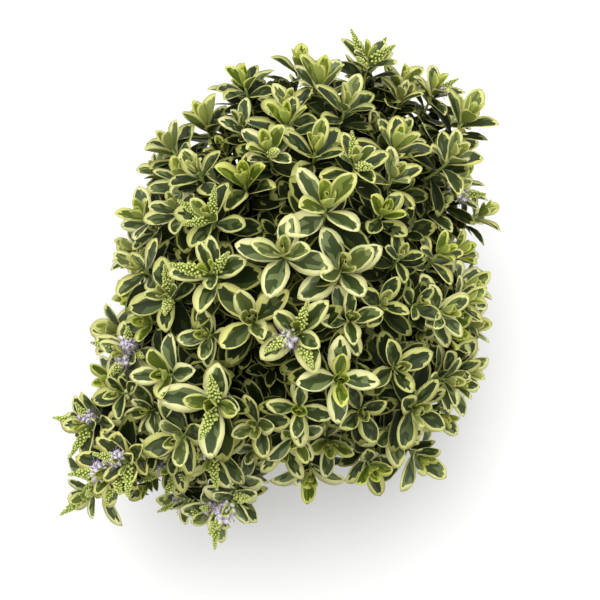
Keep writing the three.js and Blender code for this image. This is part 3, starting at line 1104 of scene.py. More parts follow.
@dataclass(frozen=True)
class Raceme:
    """A flower spike along +X: a green stalk set with club-shaped buds, or with open flowers."""

    seed: int
    open_flowers: int = 0
    length: float = 34.0
    stalk: float = 8.0
    stalk_radii: tuple[float, ...] = (1.0, 0.95, 0.9, 0.8, 0.65, 0.4)
    stalk_sides: int = 5
    handle: float = 0.3
    sway: float = 2.5
    middle_lift: float = 1.0
    tip_lift: float = 2.4
    whorls: int = 13
    to_whorl: int = 6
    last_whorl: float = 0.98
    stray: float = 0.2
    open_chance: float = 0.55
    flower_angle: Span = (58, 88)
    flower_size: Span = (0.85, 1.2)
    bud_angle: float = 64.0
    bud_closing: float = 34.0
    bud_stray: float = 6.0
    largest: float = 0.9
    smallest: float = 0.42
    taper: float = 1.8
    bud_size: Span = (0.84, 1.12)

    def mesh(self) -> bpy.types.Mesh:
        """Makes the pattern.

        Returns:
            A mesh whose slots are a raceme's parts.
        """
        chance = Chance(self.seed)
        line = self._line(chance.between(-self.sway, self.sway))
        bm = bmesh.new()
        bm.from_mesh(tube(line, self.stalk_radii, self.stalk_sides))
        bud = Bud().mesh()
        flower = Flower().mesh() if self.open_flowers else None
        opened = 0
        for whorl in range(self.whorls):
            up = whorl / (self.whorls - 1)
            share = (self.stalk + (self.length - self.stalk) * up) / self.length
            node, stem = line.point(share * self.last_whorl), line.tangent(share)
            for k in range(self.to_whorl):
                around = 2 * math.pi * (k + 0.5 * (whorl % 2)) / self.to_whorl
                around += chance.between(-self.stray, self.stray)
                rank = turned_about(across(stem), stem, around)
                if flower and opened < self.open_flowers and chance.next() < self.open_chance:
                    angle = chance.between(*self.flower_angle)
                    place = facing(node, leaning(stem, rank, math.radians(angle)), stem)
                    self._copy(bm, flower, place, chance.between(*self.flower_size))
                    opened += 1
                    continue
                angle = self.bud_angle - self.bud_closing * up
                angle += chance.between(-self.bud_stray, self.bud_stray)
                size = self.largest * (1 - (1 - self.smallest) * up**self.taper)
                size *= chance.between(*self.bud_size)
                place = facing(node, leaning(stem, rank, math.radians(angle)), stem)
                self._copy(bm, bud, place, size)
        return mesh_of(bm, f"raceme_pattern_{self.seed}")

    def _line(self, sway: float) -> Line:
        """Returns the stalk's middle line, which lifts and sways to one side."""
        return Line(
            Vector((0, 0, 0)),
            Vector((self.length * self.handle, 0, 0)),
            Vector((self.length * (1 - self.handle), sway * 0.5, self.middle_lift)),
            Vector((self.length, sway, self.tip_lift)),
        )

    @staticmethod
    def _copy(bm: bmesh.types.BMesh, pattern: bpy.types.Mesh, place: Matrix, size: float) -> None:
        """Adds a copy of a pattern.

        Args:
            bm: Where it goes.
            pattern: The bud or the flower.
            place: The place of its foot.
            size: How large it is.
        """
        before = len(bm.verts)
        bm.from_mesh(pattern)
        bm.verts.ensure_lookup_table()
        whole = place @ Matrix.Scale(size, 4)
        bmesh.ops.transform(bm, matrix=whole, verts=bm.verts[before:])


# ---- The crown's rule ------------------------------------------------------------------


class PaintedLight(Enum):
    """Painted light on a mass: darker leaf tones as painted shade, lighter as painted light."""

    SHADED = "shaded"
    EVEN = "even"
    BRIGHT = "bright"


@dataclass(frozen=True)
class Mass:
    """One mass of foliage: where its cone points, how far it reaches and what it bears.

    Turn is the bearing of its first main shoot round its middle line. Pull is how strongly its
    shoots turn up to the light, and more is how many extra shoots stand at its edge.
    """

    name: str
    bearing: float
    lean: float
    reach: float
    turn: float = 0.0
    spikes: int = 0
    blooms: int = 0
    vigour: float = 1.0
    # light is painted shade or painted light: darker or lighter tones for its leaves.
    light: PaintedLight = PaintedLight.EVEN
    pull: float = 1.05
    more: int = 0

    @property
    def axis(self) -> Vector:
        """The middle line of the mass's cone."""
        return direction(self.bearing, self.lean)


# Shaded masses have painted shade in their leaf tones; bright ones have painted light.
LIMBS: tuple[tuple[Mass, Mass], ...] = (
    (
        Mass("right", 9, 66, 154, light=PaintedLight.BRIGHT, pull=0.5),
        Mass("top_right", 338, 27, 176, vigour=0.84, light=PaintedLight.SHADED),
    ),
    (
        Mass("back_right_low", 31, 64, 180, turn=60, spikes=4, blooms=2, vigour=0.94, pull=0.7),
        Mass("top_back_right", 40, 24, 190, spikes=2),
    ),
    (
        Mass("back_right", 51, 63, 220, spikes=1, blooms=1),
        Mass("upper_back_right", 48, 43, 196, turn=45),
    ),
    (
        Mass("back", 69, 60, 230, turn=30, spikes=4, vigour=0.94),
        Mass("upper_back", 84, 42, 200),
    ),
    (
        Mass("back_left", 99, 60, 216, turn=30),
        Mass("top_back", 96, 25, 190, spikes=1),
    ),
    (
        Mass("left_back_low", 127, 62, 184, turn=20, pull=0.8, more=2),
        Mass("top_back_left", 142, 24, 186, spikes=3),
    ),
    (
        Mass("left_back", 154, 66, 156, turn=45, pull=0.8, more=2),
        Mass("upper_left_back", 152, 43, 172, turn=40),
    ),
    (
        Mass("left", 178, 66, 146, spikes=3, blooms=1, light=PaintedLight.BRIGHT),
        Mass("upper_left", 192, 43, 168, turn=40, spikes=2),
    ),
    (
        Mass("left_front", 198, 66, 168, turn=30, spikes=4, blooms=2, light=PaintedLight.BRIGHT),
        Mass("top_left", 224, 24, 184, spikes=2),
    ),
    (
        Mass("front_left_far", 221, 70, 229, spikes=8, blooms=4, light=PaintedLight.BRIGHT, more=2),
        Mass("upper_front_left", 234, 46, 192, turn=15, spikes=2, vigour=1.14),
    ),
    (
        Mass("front_left", 241, 70, 184, turn=45, spikes=8, blooms=3, light=PaintedLight.BRIGHT, more=4),
        Mass("upper_front", 264, 46, 172, turn=30),
    ),
    (
        Mass("front", 273, 68, 140),
        Mass("top_front", 285, 24, 192, spikes=3, blooms=1),
    ),
    (
        Mass("front_right", 299, 68, 164, turn=45),
        Mass("upper_front_right", 303, 44, 174, turn=30, light=PaintedLight.SHADED),
    ),
    (
        Mass("right_front", 320, 66, 152, light=PaintedLight.BRIGHT, pull=0.6, more=1),
        Mass("top", 320, 5, 194, vigour=1.12),
    ),
    (
        Mass("right_low", 344, 68, 150, turn=60, light=PaintedLight.BRIGHT, pull=0.5, more=2),
        Mass("upper_right", 352, 46, 170, vigour=0.96, light=PaintedLight.BRIGHT, pull=0.4),
    ),
)
HUB = Vector((0, 0, 115))


# ---- Trunk and limbs -------------------------------------------------------------------


@dataclass(frozen=True)
class Trunk:
    """The short leaning stem on the potting soil, with its root flare.

    The profile lists its radii by height above its foot.
    """

    foot: float = 110.3
    lean: float = 4.0
    profile: tuple[Span, ...] = (
        (-5, 15),
        (0, 13.6),
        (3, 11),
        (8, 9.5),
        (37, 6.5),
        (40, 5.2),
        (42, 2.4),
    )
    steps: int = 34
    sides: int = 28
    relief: float = 0.8
    grain: float = 5.0

    def point(self, height: float) -> Vector:
        """Returns the trunk's middle at a height above its foot."""
        slope = math.tan(math.radians(self.lean))
        return Vector((0, slope * height, self.foot + height))

    def build(self) -> None:
        """Makes the trunk with its bark."""
        low, high = self.profile[0][0], self.profile[-1][0]
        start, end = self.point(low), self.point(high)
        line = Line(start, start.lerp(end, 1 / 3), start.lerp(end, 2 / 3), end)
        heights = [low + (high - low) * i / self.steps for i in range(self.steps + 1)]
        radii = [read(self.profile, height) for height in heights]
        piece = Piece("bark_trunk")
        piece.add(roughened(tube(line, radii, self.sides), self.relief, self.grain), [BARK])
        piece.placed("bark", "trunk")


@dataclass(frozen=True)
class Bough:
    """One tapering limb, from the trunk to the plane between its two masses.

    The tiers are the heights above the trunk's foot at which limbs leave it, one after another.
    """

    index: int
    trunk: Trunk
    tiers: tuple[float, ...] = (10, 21, 32)
    base_radius: float = 3.9
    tip_radius: float = 2.4
    reach: float = 0.46
    rise: float = 0.55
    handle: float = 0.35
    step: float = 2.2
    least_steps: int = 12
    sides: int = 12
    blunting: float = 0.55
    scar_gap: float = 9.0
    scar_from: float = 3.0
    scar_spread: float = 0.8
    scar_height: float = 0.1
    relief: float = 0.35
    grain: float = 3.0

    def heading(self) -> Vector:
        """Returns the heading of the limb's tip, between its two masses."""
        outer, inner = LIMBS[self.index]
        return (outer.axis + inner.axis).normalized()

    def tip(self) -> Vector:
        """Returns where the limb ends."""
        outer, inner = LIMBS[self.index]
        return HUB + self.heading() * (min(outer.reach, inner.reach) * self.reach)

    def line(self) -> Line:
        """Bends the limb's line outwards from its tier of the trunk.

        Returns:
            The line, from the trunk's middle to the limb's tip.
        """
        tip, heading = self.tip(), self.heading()
        start = self.trunk.point(self.tiers[self.index % len(self.tiers)])
        level = Vector((heading.x, heading.y, 0)).normalized()
        leaving = (level + UP * self.rise).normalized()
        length = (tip - start).length
        leaving, arriving = leaving * self.handle * length, heading * self.handle * length
        return Line(start, start + leaving, tip - arriving, tip)

    def build(self) -> None:
        """Makes the limb, ringed with old leaf scars."""
        line = self.line()
        steps = max(self.least_steps, round(line.length / self.step))
        radii = []
        for i in range(steps + 1):
            share = i / steps
            past_scar = (share * line.length + self.scar_from) % self.scar_gap
            scar = math.exp(-((past_scar - self.scar_gap / 2) ** 2) / self.scar_spread)
            plain = self.base_radius + (self.tip_radius - self.base_radius) * share
            end = self.blunting if i == steps else 1
            radii.append(plain * (1 + self.scar_height * scar) * end)
        name = LIMBS[self.index][0].name
        piece = Piece(f"bark_limb_{name}")
        piece.add(roughened(tube(line, radii, self.sides), self.relief, self.grain), [BARK])
        piece.placed("bark", f"limb_{name}")


# ---- Shoots and leaves -----------------------------------------------------------------


@dataclass(frozen=True)
class LeafPair:
    """One pair of leaves on a shoot: how far below its tip, how long and how open."""

    below: float
    length: float
    open_deg: float
    age: Age


class Order(Enum):
    """What a shoot is to its mass, with the leaf pairs that it carries."""

    # On main and edge shoots lower pairs take old, then deep tones, partly as painted shade.
    MAIN = (
        LeafPair(0.6, 15, 11, Age.YOUNG),
        LeafPair(2.2, 21, 26, Age.YOUNG),
        LeafPair(5, 27, 42, Age.FRESH),
        LeafPair(9, 30, 55, Age.PRIME),
        LeafPair(14, 33, 64, Age.PRIME),
        LeafPair(20, 35, 70, Age.OLD),
        LeafPair(27, 35, 75, Age.OLD),
        LeafPair(35, 35, 79, Age.OLD),
        LeafPair(44, 34, 82, Age.DEEP),
        LeafPair(54, 32, 85, Age.DEEP),
        LeafPair(65, 30, 87, Age.DEEP),
        LeafPair(77, 28, 88, Age.DEEP),
        LeafPair(90, 26, 88, Age.DEEP),
    )
    EDGE = (
        LeafPair(0.6, 12, 12, Age.YOUNG),
        LeafPair(2.5, 19, 28, Age.FRESH),
        LeafPair(6, 26, 44, Age.PRIME),
        LeafPair(11, 31, 57, Age.PRIME),
        LeafPair(17, 33, 67, Age.OLD),
        LeafPair(24, 33, 74, Age.OLD),
        LeafPair(32, 31, 80, Age.DEEP),
        LeafPair(41, 30, 84, Age.DEEP),
        LeafPair(51, 29, 86, Age.DEEP),
        LeafPair(62, 28, 87, Age.DEEP),
    )
    # Side shoots lie between the main ones: old tones from the second pair, as painted shade.
    SIDE = (
        LeafPair(0.6, 11, 10, Age.YOUNG),
        LeafPair(2.2, 18, 26, Age.OLD),
        LeafPair(5.5, 25, 42, Age.OLD),
        LeafPair(10, 29, 54, Age.OLD),
        LeafPair(16, 31, 64, Age.OLD),
        LeafPair(23, 31, 72, Age.DEEP),
        LeafPair(31, 30, 78, Age.DEEP),
    )
    # Low shoots lie deep in a mass: deep tones from the tip, as painted shade.
    LOW = (
        LeafPair(1.5, 18, 20, Age.DEEP),
        LeafPair(6, 26, 38, Age.DEEP),
        LeafPair(12, 31, 52, Age.DEEP),
        LeafPair(20, 32, 64, Age.DEEP),
        LeafPair(29, 31, 74, Age.DEEP),
    )


@dataclass
class Shoot:
    """One leafy twig: its line, its leaves and its racemes."""

    number: int
    mass: Mass
    order: Order
    line: Line
    chance: Chance
    racemes: int = 0
    blooms: int = 0
    first_turn: float = 0.0
    tone: int = 0
    vigour: float = 1.0


@dataclass(frozen=True)
class Blade:
    """One leaf in its place."""

    age: Age
    variant: int
    tones: LeafTones
    place: Matrix


@dataclass(frozen=True)
class Spike:
    """One raceme in its place."""

    variant: int
    in_bloom: bool
    place: Matrix


class Crowding:
    """Remembers where leaves and twigs are, so that new ones keep clear of them."""

    def __init__(self, gap: float) -> None:
        """Starts with empty space.

        Args:
            gap: How near two pieces of different shoots may come.
        """
        self.gap = gap
        self.cells: dict[tuple[int, int, int], list[tuple[Vector, int]]] = {}

    def _cell(self, point: Vector) -> tuple[int, int, int]:
        """Returns the cell that a point lies in."""
        return tuple(int(math.floor(c / self.gap)) for c in point)

    def add(self, points: Iterable[Vector], owner: int) -> None:
        """Fills space.

        Args:
            points: Where the new piece is.
            owner: The shoot that it belongs to.
        """
        for point in points:
            self.cells.setdefault(self._cell(point), []).append((point, owner))

    def _beside(self, point: Vector) -> Iterable[tuple[Vector, int]]:
        """Yields what is remembered in the cells round a point."""
        x, y, z = self._cell(point)
        for dx, dy, dz in product((-1, 0, 1), repeat=3):
            yield from self.cells.get((x + dx, y + dy, z + dz), ())

    def clear(self, points: Iterable[Vector], owner: int) -> bool:
        """Tells whether a piece would keep clear of other shoots.

        Args:
            points: Where it would be.
            owner: The shoot that it belongs to.

        Returns:
            True if it would.
        """
        near = self.gap * self.gap
        for point in points:
            for other, whose in self._beside(point):
                if whose != owner and (other - point).length_squared < near:
                    return False
        return True


@dataclass(frozen=True)
class SideRule:
    """Where the shoots between a mass's main ones stand.

    A spread runs from 0 in the middle of the mass's cone to 1 at its edge, a reach is a share
    of the mass's own, and a root is the share of its stem from which a shoot grows.
    """

    stray: float = 12.0
    spread: float = 0.8
    reach: Span = (0.74, 0.84)


@dataclass(frozen=True)
class EdgeRule:
    """Where the shoots at the edge of a low mass stand, with shares as in SideRule.

    A mass has one more of them for each reach_step of its reach past from_reach.
    """

    from_reach: float = 150.0
    reach_step: float = 8.0
    from_lean: float = 55.0
    spread: Span = (0.7, 1.0)
    root: Span = (0.6, 0.95)
    reach: Span = (0.76, 0.94)
    falling_off: float = 0.3
    extra_reach: Span = (0.97, 1.05)
    extra_racemes: int = 2


@dataclass(frozen=True)
class LowRule:
    """Where the shoots deep in a mass stand, with shares as in SideRule.

    They come in three groups: a ring at the edge, a fill all over and a few in the middle. The
    last two grow in number with the mass's reach, as the edge shoots do.
    """

    from_reach: float = 150.0
    reach_step: float = 9.0
    least_fill: int = 2
    middle_from_reach: float = 172.0
    middle_reach_step: float = 7.0
    ring_stray: float = 20.0
    ring_spread: float = 1.0
    ring_reach: float = 0.56
    fill_spread: Span = (0.3, 0.95)
    fill_reach: float = 0.68
    middle_spread: Span = (0.05, 0.5)
    middle_reach: float = 0.82
    more_reach: Span = (0, 0.1)
    root: Span = (0.3, 0.7)


@dataclass
class Crown:
    """The whole shrub above its pot, grown by one rule."""

    trunk: Trunk = Trunk()
    sides: SideRule = SideRule()
    edges: EdgeRule = EdgeRule()
    lows: LowRule = LowRule()
    # The cones of space that the masses keep to.
    widest_cone: float = 19.0
    cone_overlap: float = 7.0
    rim_height: float = 126.0
    rim_radius: float = 76.0
    floor_height: float = 4.0
    leaf_gap: float = 2.2
    clearance: float = 0.3
    bough_samples: int = 40
    # Stems and twigs.
    stem_radii: tuple[float, ...] = (1.9, 1.8, 1.75, 1.7, 1.6)
    stem_sides: int = 7
    stem_handle: float = 0.3
    fork_radius: float = 1.6
    fork_share: float = 0.58
    twig_radius: float = 1.05
    twig_handle: float = 0.4
    twig_steps: int = 7
    twig_sides: int = 6
    young_from: float = 0.4
    finer_base: float = 0.8
    finer_tip: float = 0.75
    sunk_step: float = 0.14
    sunk_steps: int = 7
    # Shoots.
    stem_seed: int = 100
    shoot_seed: int = 5100
    finer_seed: int = 7000
    shoot_seeds: float = 1e9
    shoots: int = 3
    spread: float = 0.58
    reach_variation: float = 0.05
    golden_angle: float = 137.5
    tones: int = 12
    vigour: Span = (0.86, 1.16)
    sample_step: float = 3.0
    sample_from: float = 0.12
    sample_run: float = 0.88
    # Leaves.
    leaf_variants: int = 10
    leaf_seed: int = 7
    leaf_seed_step: int = 31
    least_share: float = 0.1
    sunward: float = 0.57
    foot_out: float = 0.4
    opening_stray: float = 4.0
    turn_stray: float = 0.1
    leaf_length: Span = (0.94, 1.06)
    leaf_width: Span = (0.79, 1.05)
    leaf_bend: Span = (0.5, 1.5)
    leaf_twist: float = 0.16
    crowned_levels: int = 3
    crowned_length: float = 0.82
    plain_tone_step: int = 4
    # Painted shade: in a shaded mass, prime pairs below this level take old tones.
    prime_in_painted_shade: int = 3
    # Painted light: in a bright mass, old pairs down to this level take prime tones.
    prime_in_painted_light: int = 5
    fittings: tuple[Span, ...] = (
        (1, 1),
        (1, 0.86),
        (0.94, 0.74),
        (0.86, 0.64),
        (0.76, 0.54),
        (0.64, 0.46),
    )
    # Spots on a leaf of unit length at which its room is tested, and how they bow with it.
    leaf_spots: tuple[Span, ...] = (
        (0.35, 0),
        (0.55, 0.24),
        (0.55, -0.24),
        (0.75, 0),
        (0.8, 0.22),
        (0.8, -0.22),
        (1, 0),
    )
    spot_lift: float = 0.02
    spot_droop: float = 0.08
    # Racemes.
    raceme_variants: int = 3
    raceme_seed: int = 60
    raceme_owner: int = -1000
    raceme_spots: tuple[float, ...] = (15, 20, 25, 30, 35)
    raceme_size: Span = (0.78, 0.96)
    raceme_stray: float = 0.3
    open_flowers: int = 12
    most_on_shoot: int = 4
    first_axil: int = 3
    axil_rise: float = 2.6
    axil_angle: Span = (14.0, 21.0)
    # What has grown: stems, blades and spikes by mass, and all shoots in order.
    stems: dict[str, Line] = field(default_factory=dict)
    grown: list[Shoot] = field(default_factory=list)
    blades: dict[str, list[Blade]] = field(default_factory=dict)
    spikes: dict[str, list[Spike]] = field(default_factory=dict)

    def __post_init__(self) -> None:
        """Sets out the masses, the limbs and the space round them."""
        self.masses = [mass for pair in LIMBS for mass in pair]
        self.axes = [mass.axis for mass in self.masses]
        self.boughs = [Bough(index, self.trunk) for index in range(len(LIMBS))]
        self.crowding = Crowding(self.leaf_gap)
        for bough in self.boughs:
            line = bough.line()
            shares = [k / self.bough_samples for k in range(self.bough_samples + 1)]
            self.crowding.add([line.point(share) for share in shares], -1 - bough.index)

    # -- twigs --

    def _edge_angle(self, mass: Mass, aside: Vector) -> float:
        """Measures how wide a mass's cone is to one side.

        Args:
            mass: The mass.
            aside: The direction, square to its middle line.

        Returns:
            The angle from the middle line to the nearest wall, or the widest that is allowed.
        """
        angles = [
            math.atan2(1 - mass.axis.dot(axis), aside.dot(axis))
            for other, axis in zip(self.masses, self.axes)
            if other is not mass and aside.dot(axis) > 0
        ]
        return min([*angles, math.radians(self.widest_cone)])

    def _fork(self, mass: Mass) -> Vector:
        """Returns where a mass's stem forks into its main shoots."""
        return HUB + mass.axis * (mass.reach * self.fork_share)

    def _stem_line(self, mass: Mass, twin: Mass, bough: Bough) -> Line:
        """Runs a mass's stem from beside its limb's tip to its fork.

        Args:
            mass: The mass.
            twin: The other mass of the limb.
            bough: The limb.

        Returns:
            The line.
        """
        tip, heading, fork = bough.tip(), bough.heading(), self._fork(mass)
        away = (mass.axis - twin.axis).normalized()
        start = tip + away * (self.stem_radii[0] + self.clearance) + heading * self.clearance
        length = (fork - start).length
        leaving = heading * self.stem_handle * length
        arriving = mass.axis * self.stem_handle * length
        return Line(start, start + leaving, fork - arriving, fork)

    def _ring_heading(self, mass: Mass, around: float, spread: float) -> Vector:
        """Returns a shoot's heading from the hub.

        Args:
            mass: Its mass.
            around: Its place in the ring round the mass's middle line, in degrees.
            spread: How far out it stands, from 0 in the middle to 1 at the cone's edge.

        Returns:
            The unit vector.
        """
        outward = direction(mass.bearing, mass.lean + 90)
        sideways = mass.axis.cross(outward)
        angle = math.radians(around)
        aside = outward * math.cos(angle) + sideways * math.sin(angle)
        tilt = spread * self._edge_angle(mass, aside)
        return (mass.axis * math.cos(tilt) + aside * math.sin(tilt)).normalized()

    def _twig_line(
        self, mass: Mass, root: Vector, leaving: Vector, heading: Vector, reach: float
    ) -> Line:
        """Returns the line of a twig, which sinks into its stem and turns up to the light.

        Args:
            mass: Its mass.
            root: Where it leaves its stem.
            leaving: The stem's heading there.
            heading: The direction of its tip from the hub.
            reach: The distance of its tip from the hub.

        Returns:
            The line.
        """
        tip = HUB + heading * reach
        ending = (heading + UP * mass.pull).normalized()
        bend = self.twig_handle * (tip - root).length
        sunk = 1 + self.sunk_step * (len(self.grown) % self.sunk_steps)
        return Line(root - leaving * sunk, root + leaving * bend, tip - ending * bend, tip)

    def _add_shoot(self, mass: Mass, order: Order, line: Line, seeds: Chance) -> Shoot:
        """Adds one shoot and fills its space.

        Args:
            mass: Its mass.
            order: What it is to the mass.
            line: Its line.
            seeds: Where the seed of its own draws comes from.

        Returns:
            The shoot.
        """
        chance = Chance(int(seeds.next() * self.shoot_seeds))
        shoot = Shoot(len(self.grown) + 1, mass, order, line, chance)
        shoot.first_turn = chance.between(0, math.pi)
        shoot.tone = int(chance.next() * self.tones)
        shoot.vigour = mass.vigour * chance.between(*self.vigour)
        self.grown.append(shoot)
        count = max(2, int(line.length / self.sample_step))
        shares = [self.sample_from + self.sample_run * k / count for k in range(count + 1)]
        self.crowding.add([line.point(share) for share in shares], shoot.number)
        return shoot

    def grow_twigs(self) -> None:
        """Grows each mass's stem, its main shoots and its finer side shoots."""
        for bough, (outer, inner) in zip(self.boughs, LIMBS):
            for step, (mass, twin) in enumerate(((outer, inner), (inner, outer))):
                number = 2 * bough.index + step
                self.stems[mass.name] = self._stem_line(mass, twin, bough)
                reaches = Chance(self.stem_seed + number)
                self._grow_main(mass, reaches, Chance(self.shoot_seed + number))
        for index, mass in enumerate(self.masses):
            chance = Chance(self.finer_seed + index)
            self._grow_sides(mass, chance)
            self._grow_edges(mass, chance)
            self._grow_lows(mass, chance)

    def _grow_main(self, mass: Mass, reaches: Chance, seeds: Chance) -> None:
        """Grows a mass's three main shoots, where its solid has them.

        Args:
            mass: The mass.
            reaches: Where the draws of their reach come from, the solid's own stream.
            seeds: Where the seeds of their own draws come from.
        """
        shoots = []
        for k in range(self.shoots):
            heading = self._ring_heading(mass, mass.turn + 360 * k / self.shoots, self.spread)
            reach = mass.reach * (1 + self.reach_variation * (2 * reaches.next() - 1))
            line = self._twig_line(mass, self._fork(mass), mass.axis, heading, reach)
            shoots.append(self._add_shoot(mass, Order.MAIN, line, seeds))
        self._share_racemes(mass, shoots)

    def _share_racemes(self, mass: Mass, shoots: list[Shoot]) -> None:
        """Deals a mass's racemes and its open ones out, the highest shoot first.

        Args:
            mass: The mass.
            shoots: Its main shoots.
        """
        left, in_bloom = mass.spikes, mass.blooms
        shared = math.ceil(mass.spikes / self.shoots)
        most = self.most_on_shoot if mass.spikes <= self.most_on_shoot else shared
        for shoot in sorted(shoots, key=lambda shoot: -shoot.line.point(1).z):
            shoot.racemes = min(left, most)
            shoot.blooms = min(in_bloom, max(1, shoot.racemes // 2), shoot.racemes)
            left -= shoot.racemes
            in_bloom -= shoot.blooms

    def _grow_sides(self, mass: Mass, chance: Chance) -> None:
        """Grows the shoots between a mass's main ones.

        Args:
            mass: The mass.
            chance: Where its draws come from.
        """
        rule, stem = self.sides, self.stems[mass.name]
        for k in range(self.shoots):
            around = mass.turn + 360 * (k + 0.5) / self.shoots
            around += chance.between(-rule.stray, rule.stray)
            heading = self._ring_heading(mass, around, rule.spread)
            reach = mass.reach * chance.between(*rule.reach)
            line = self._twig_line(mass, stem.point(1), mass.axis, heading, reach)
            self._add_shoot(mass, Order.SIDE, line, chance)

    def _grow_edges(self, mass: Mass, chance: Chance) -> None:
        """Grows the shoots at a low mass's edge, and its extra ones.

        Args:
            mass: The mass.
            chance: Where its draws come from.
        """
        rule, stem = self.edges, self.stems[mass.name]
        low = mass.lean > rule.from_lean
        plain = max(0, round((mass.reach - rule.from_reach) / rule.reach_step)) if low else 0
        for k in range(plain + mass.more):
            extra = k >= plain
            around = mass.turn + self.golden_angle * (k + 0.5)
            spread = chance.between(*rule.spread)
            heading = self._ring_heading(mass, around, spread)
            share = chance.between(*rule.root)
            shorter = 1 - rule.falling_off * (spread - rule.spread[0])
            reach = mass.reach * chance.between(*rule.reach) * shorter
            if extra:
                reach = mass.reach * chance.between(*rule.extra_reach)
            line = self._twig_line(mass, stem.point(share), stem.tangent(share), heading, reach)
            shoot = self._add_shoot(mass, Order.EDGE, line, chance)
            if extra and mass.spikes:
                shoot.racemes, shoot.blooms = rule.extra_racemes, k % 2

    def _grow_lows(self, mass: Mass, chance: Chance) -> None:
        """Grows the shoots deep in a mass.

        Args:
            mass: The mass.
            chance: Where its draws come from.
        """
        rule, stem = self.lows, self.stems[mass.name]
        fill = round((mass.reach - rule.from_reach) / rule.reach_step)
        fill = max(rule.least_fill, fill)
        middle = round((mass.reach - rule.middle_from_reach) / rule.middle_reach_step)
        for k in range(self.shoots + fill + max(0, middle)):
            around = self.golden_angle * k
            if k < self.shoots:
                stray = chance.between(-rule.ring_stray, rule.ring_stray)
                around = 360 * k / self.shoots + stray
                spread, least = rule.ring_spread, rule.ring_reach
            elif k < self.shoots + fill:
                spread, least = chance.between(*rule.fill_spread), rule.fill_reach
            else:
                spread, least = chance.between(*rule.middle_spread), rule.middle_reach
            heading = self._ring_heading(mass, mass.turn + around, spread)
            share = chance.between(*rule.root)
            reach = mass.reach * (least + chance.between(*rule.more_reach))
            line = self._twig_line(mass, stem.point(share), stem.tangent(share), heading, reach)
            self._add_shoot(mass, Order.LOW, line, chance)

    # -- leaves --

    def _in_cone(self, mass: Mass, points: Iterable[Vector]) -> bool:
        """Tells whether points keep to a mass's cone, give or take a little, and off the pot.

        Args:
            mass: The mass.
            points: The points.

        Returns:
            True if all of them do.
        """
        walls = [
            (mass.axis - axis).normalized()
            for other, axis in zip(self.masses, self.axes)
            if other is not mass
        ]
        for point in points:
            offset = point - HUB
            if point.z < self.rim_height and math.hypot(point.x, point.y) < self.rim_radius:
                return False
            if point.z < self.floor_height:
                return False
            if any(offset.dot(wall) < -self.cone_overlap for wall in walls):
                return False
        return True

    def _leaf_points(self, place: Matrix) -> list[Vector]:
        """Returns points spread over a leaf in its place."""
        return [
            place @ Vector((x, y, self.spot_lift - self.spot_droop * x * x))
            for x, y in self.leaf_spots
        ]

    def _age(self, shoot: Shoot, level: int) -> Age:
        """Returns the age a pair takes, with its mass's painted shade or light in its tones.

        Args:
            shoot: Its shoot.
            level: Which pair it is, from the tip down.

        Returns:
            The age.
        """
        age, light = shoot.order.value[level].age, shoot.mass.light
        plain = shoot.tone % self.plain_tone_step == 0
        # Fresh pairs look prime on some shoots at random, and in a shaded mass as painted shade.
        if age is Age.FRESH and (plain or light is PaintedLight.SHADED):
            return Age.PRIME
        # Painted shade: a shaded mass's lower prime pairs look old.
        if age is Age.PRIME and light is PaintedLight.SHADED and level > self.prime_in_painted_shade:
            return Age.OLD
        # Painted light: a bright mass's upper old pairs look prime.
        if age is Age.OLD and light is PaintedLight.BRIGHT and level <= self.prime_in_painted_light:
            return Age.PRIME
        return age

    def _grow_pair(self, shoot: Shoot, level: int) -> None:
        """Grows one pair of leaves, each as large as its place allows.

        Args:
            shoot: Its shoot.
            level: Which pair it is, from the tip down.
        """
        pair, chance = shoot.order.value[level], shoot.chance
        share = 1 - pair.below / shoot.line.length
        crowned = shoot.racemes > 1 and level < self.crowned_levels
        if share < self.least_share or (crowned and level == 0):
            return
        age = self._age(shoot, level)
        # Painted shade: a shaded mass takes each age's last tone, the darkest of the older ages.
        tone = -1 if shoot.mass.light is PaintedLight.SHADED else shoot.tone % len(TONES[age])
        node, stem = shoot.line.point(share), shoot.line.tangent(share)
        opened = pair.open_deg + chance.between(-self.opening_stray, self.opening_stray)
        face = stem + UP * self.sunward * shoot.mass.pull * (pair.open_deg / 90) ** 2
        for half in range(2):
            turn = shoot.first_turn + (level * 0.5 + half) * math.pi
            turn += chance.between(-self.turn_stray, self.turn_stray)
            rank = turned_about(across(stem), stem, turn)
            length = pair.length * chance.between(*self.leaf_length) * shoot.vigour
            length *= self.crowned_length if crowned else 1
            twist = Matrix.Rotation(chance.between(-self.leaf_twist, self.leaf_twist), 4, "X")
            width, bend = chance.between(*self.leaf_width), chance.between(*self.leaf_bend)
            variant = int(chance.next() * self.leaf_variants)
            for size, opening in self.fittings:
                forward = leaning(stem, rank, math.radians(opened) * opening)
                long = length * size
                place = facing(node + rank * self.foot_out, forward, face) @ twist
                place = place @ Matrix.Diagonal((long, long * width, long * bend, 1))
                points = self._leaf_points(place)
                if self._in_cone(shoot.mass, points) and self.crowding.clear(points, shoot.number):
                    self.crowding.add(points, shoot.number)
                    blade = Blade(age, variant, TONES[age][tone], place)
                    self.blades.setdefault(shoot.mass.name, []).append(blade)
                    break

    def grow_leaves(self) -> None:
        """Grows the leaves from the tips down: main shoots first, then the finer ones."""
        for order in Order:
            shoots = [shoot for shoot in self.grown if shoot.order is order]
            for level in range(len(order.value)):
                for shoot in shoots:
                    self._grow_pair(shoot, level)

    def grow_racemes(self) -> None:
        """Sets racemes in the upper leaf axils of the shoots that flower."""
        for shoot in self.grown:
            for k in range(shoot.racemes):
                self._grow_raceme(shoot, k)

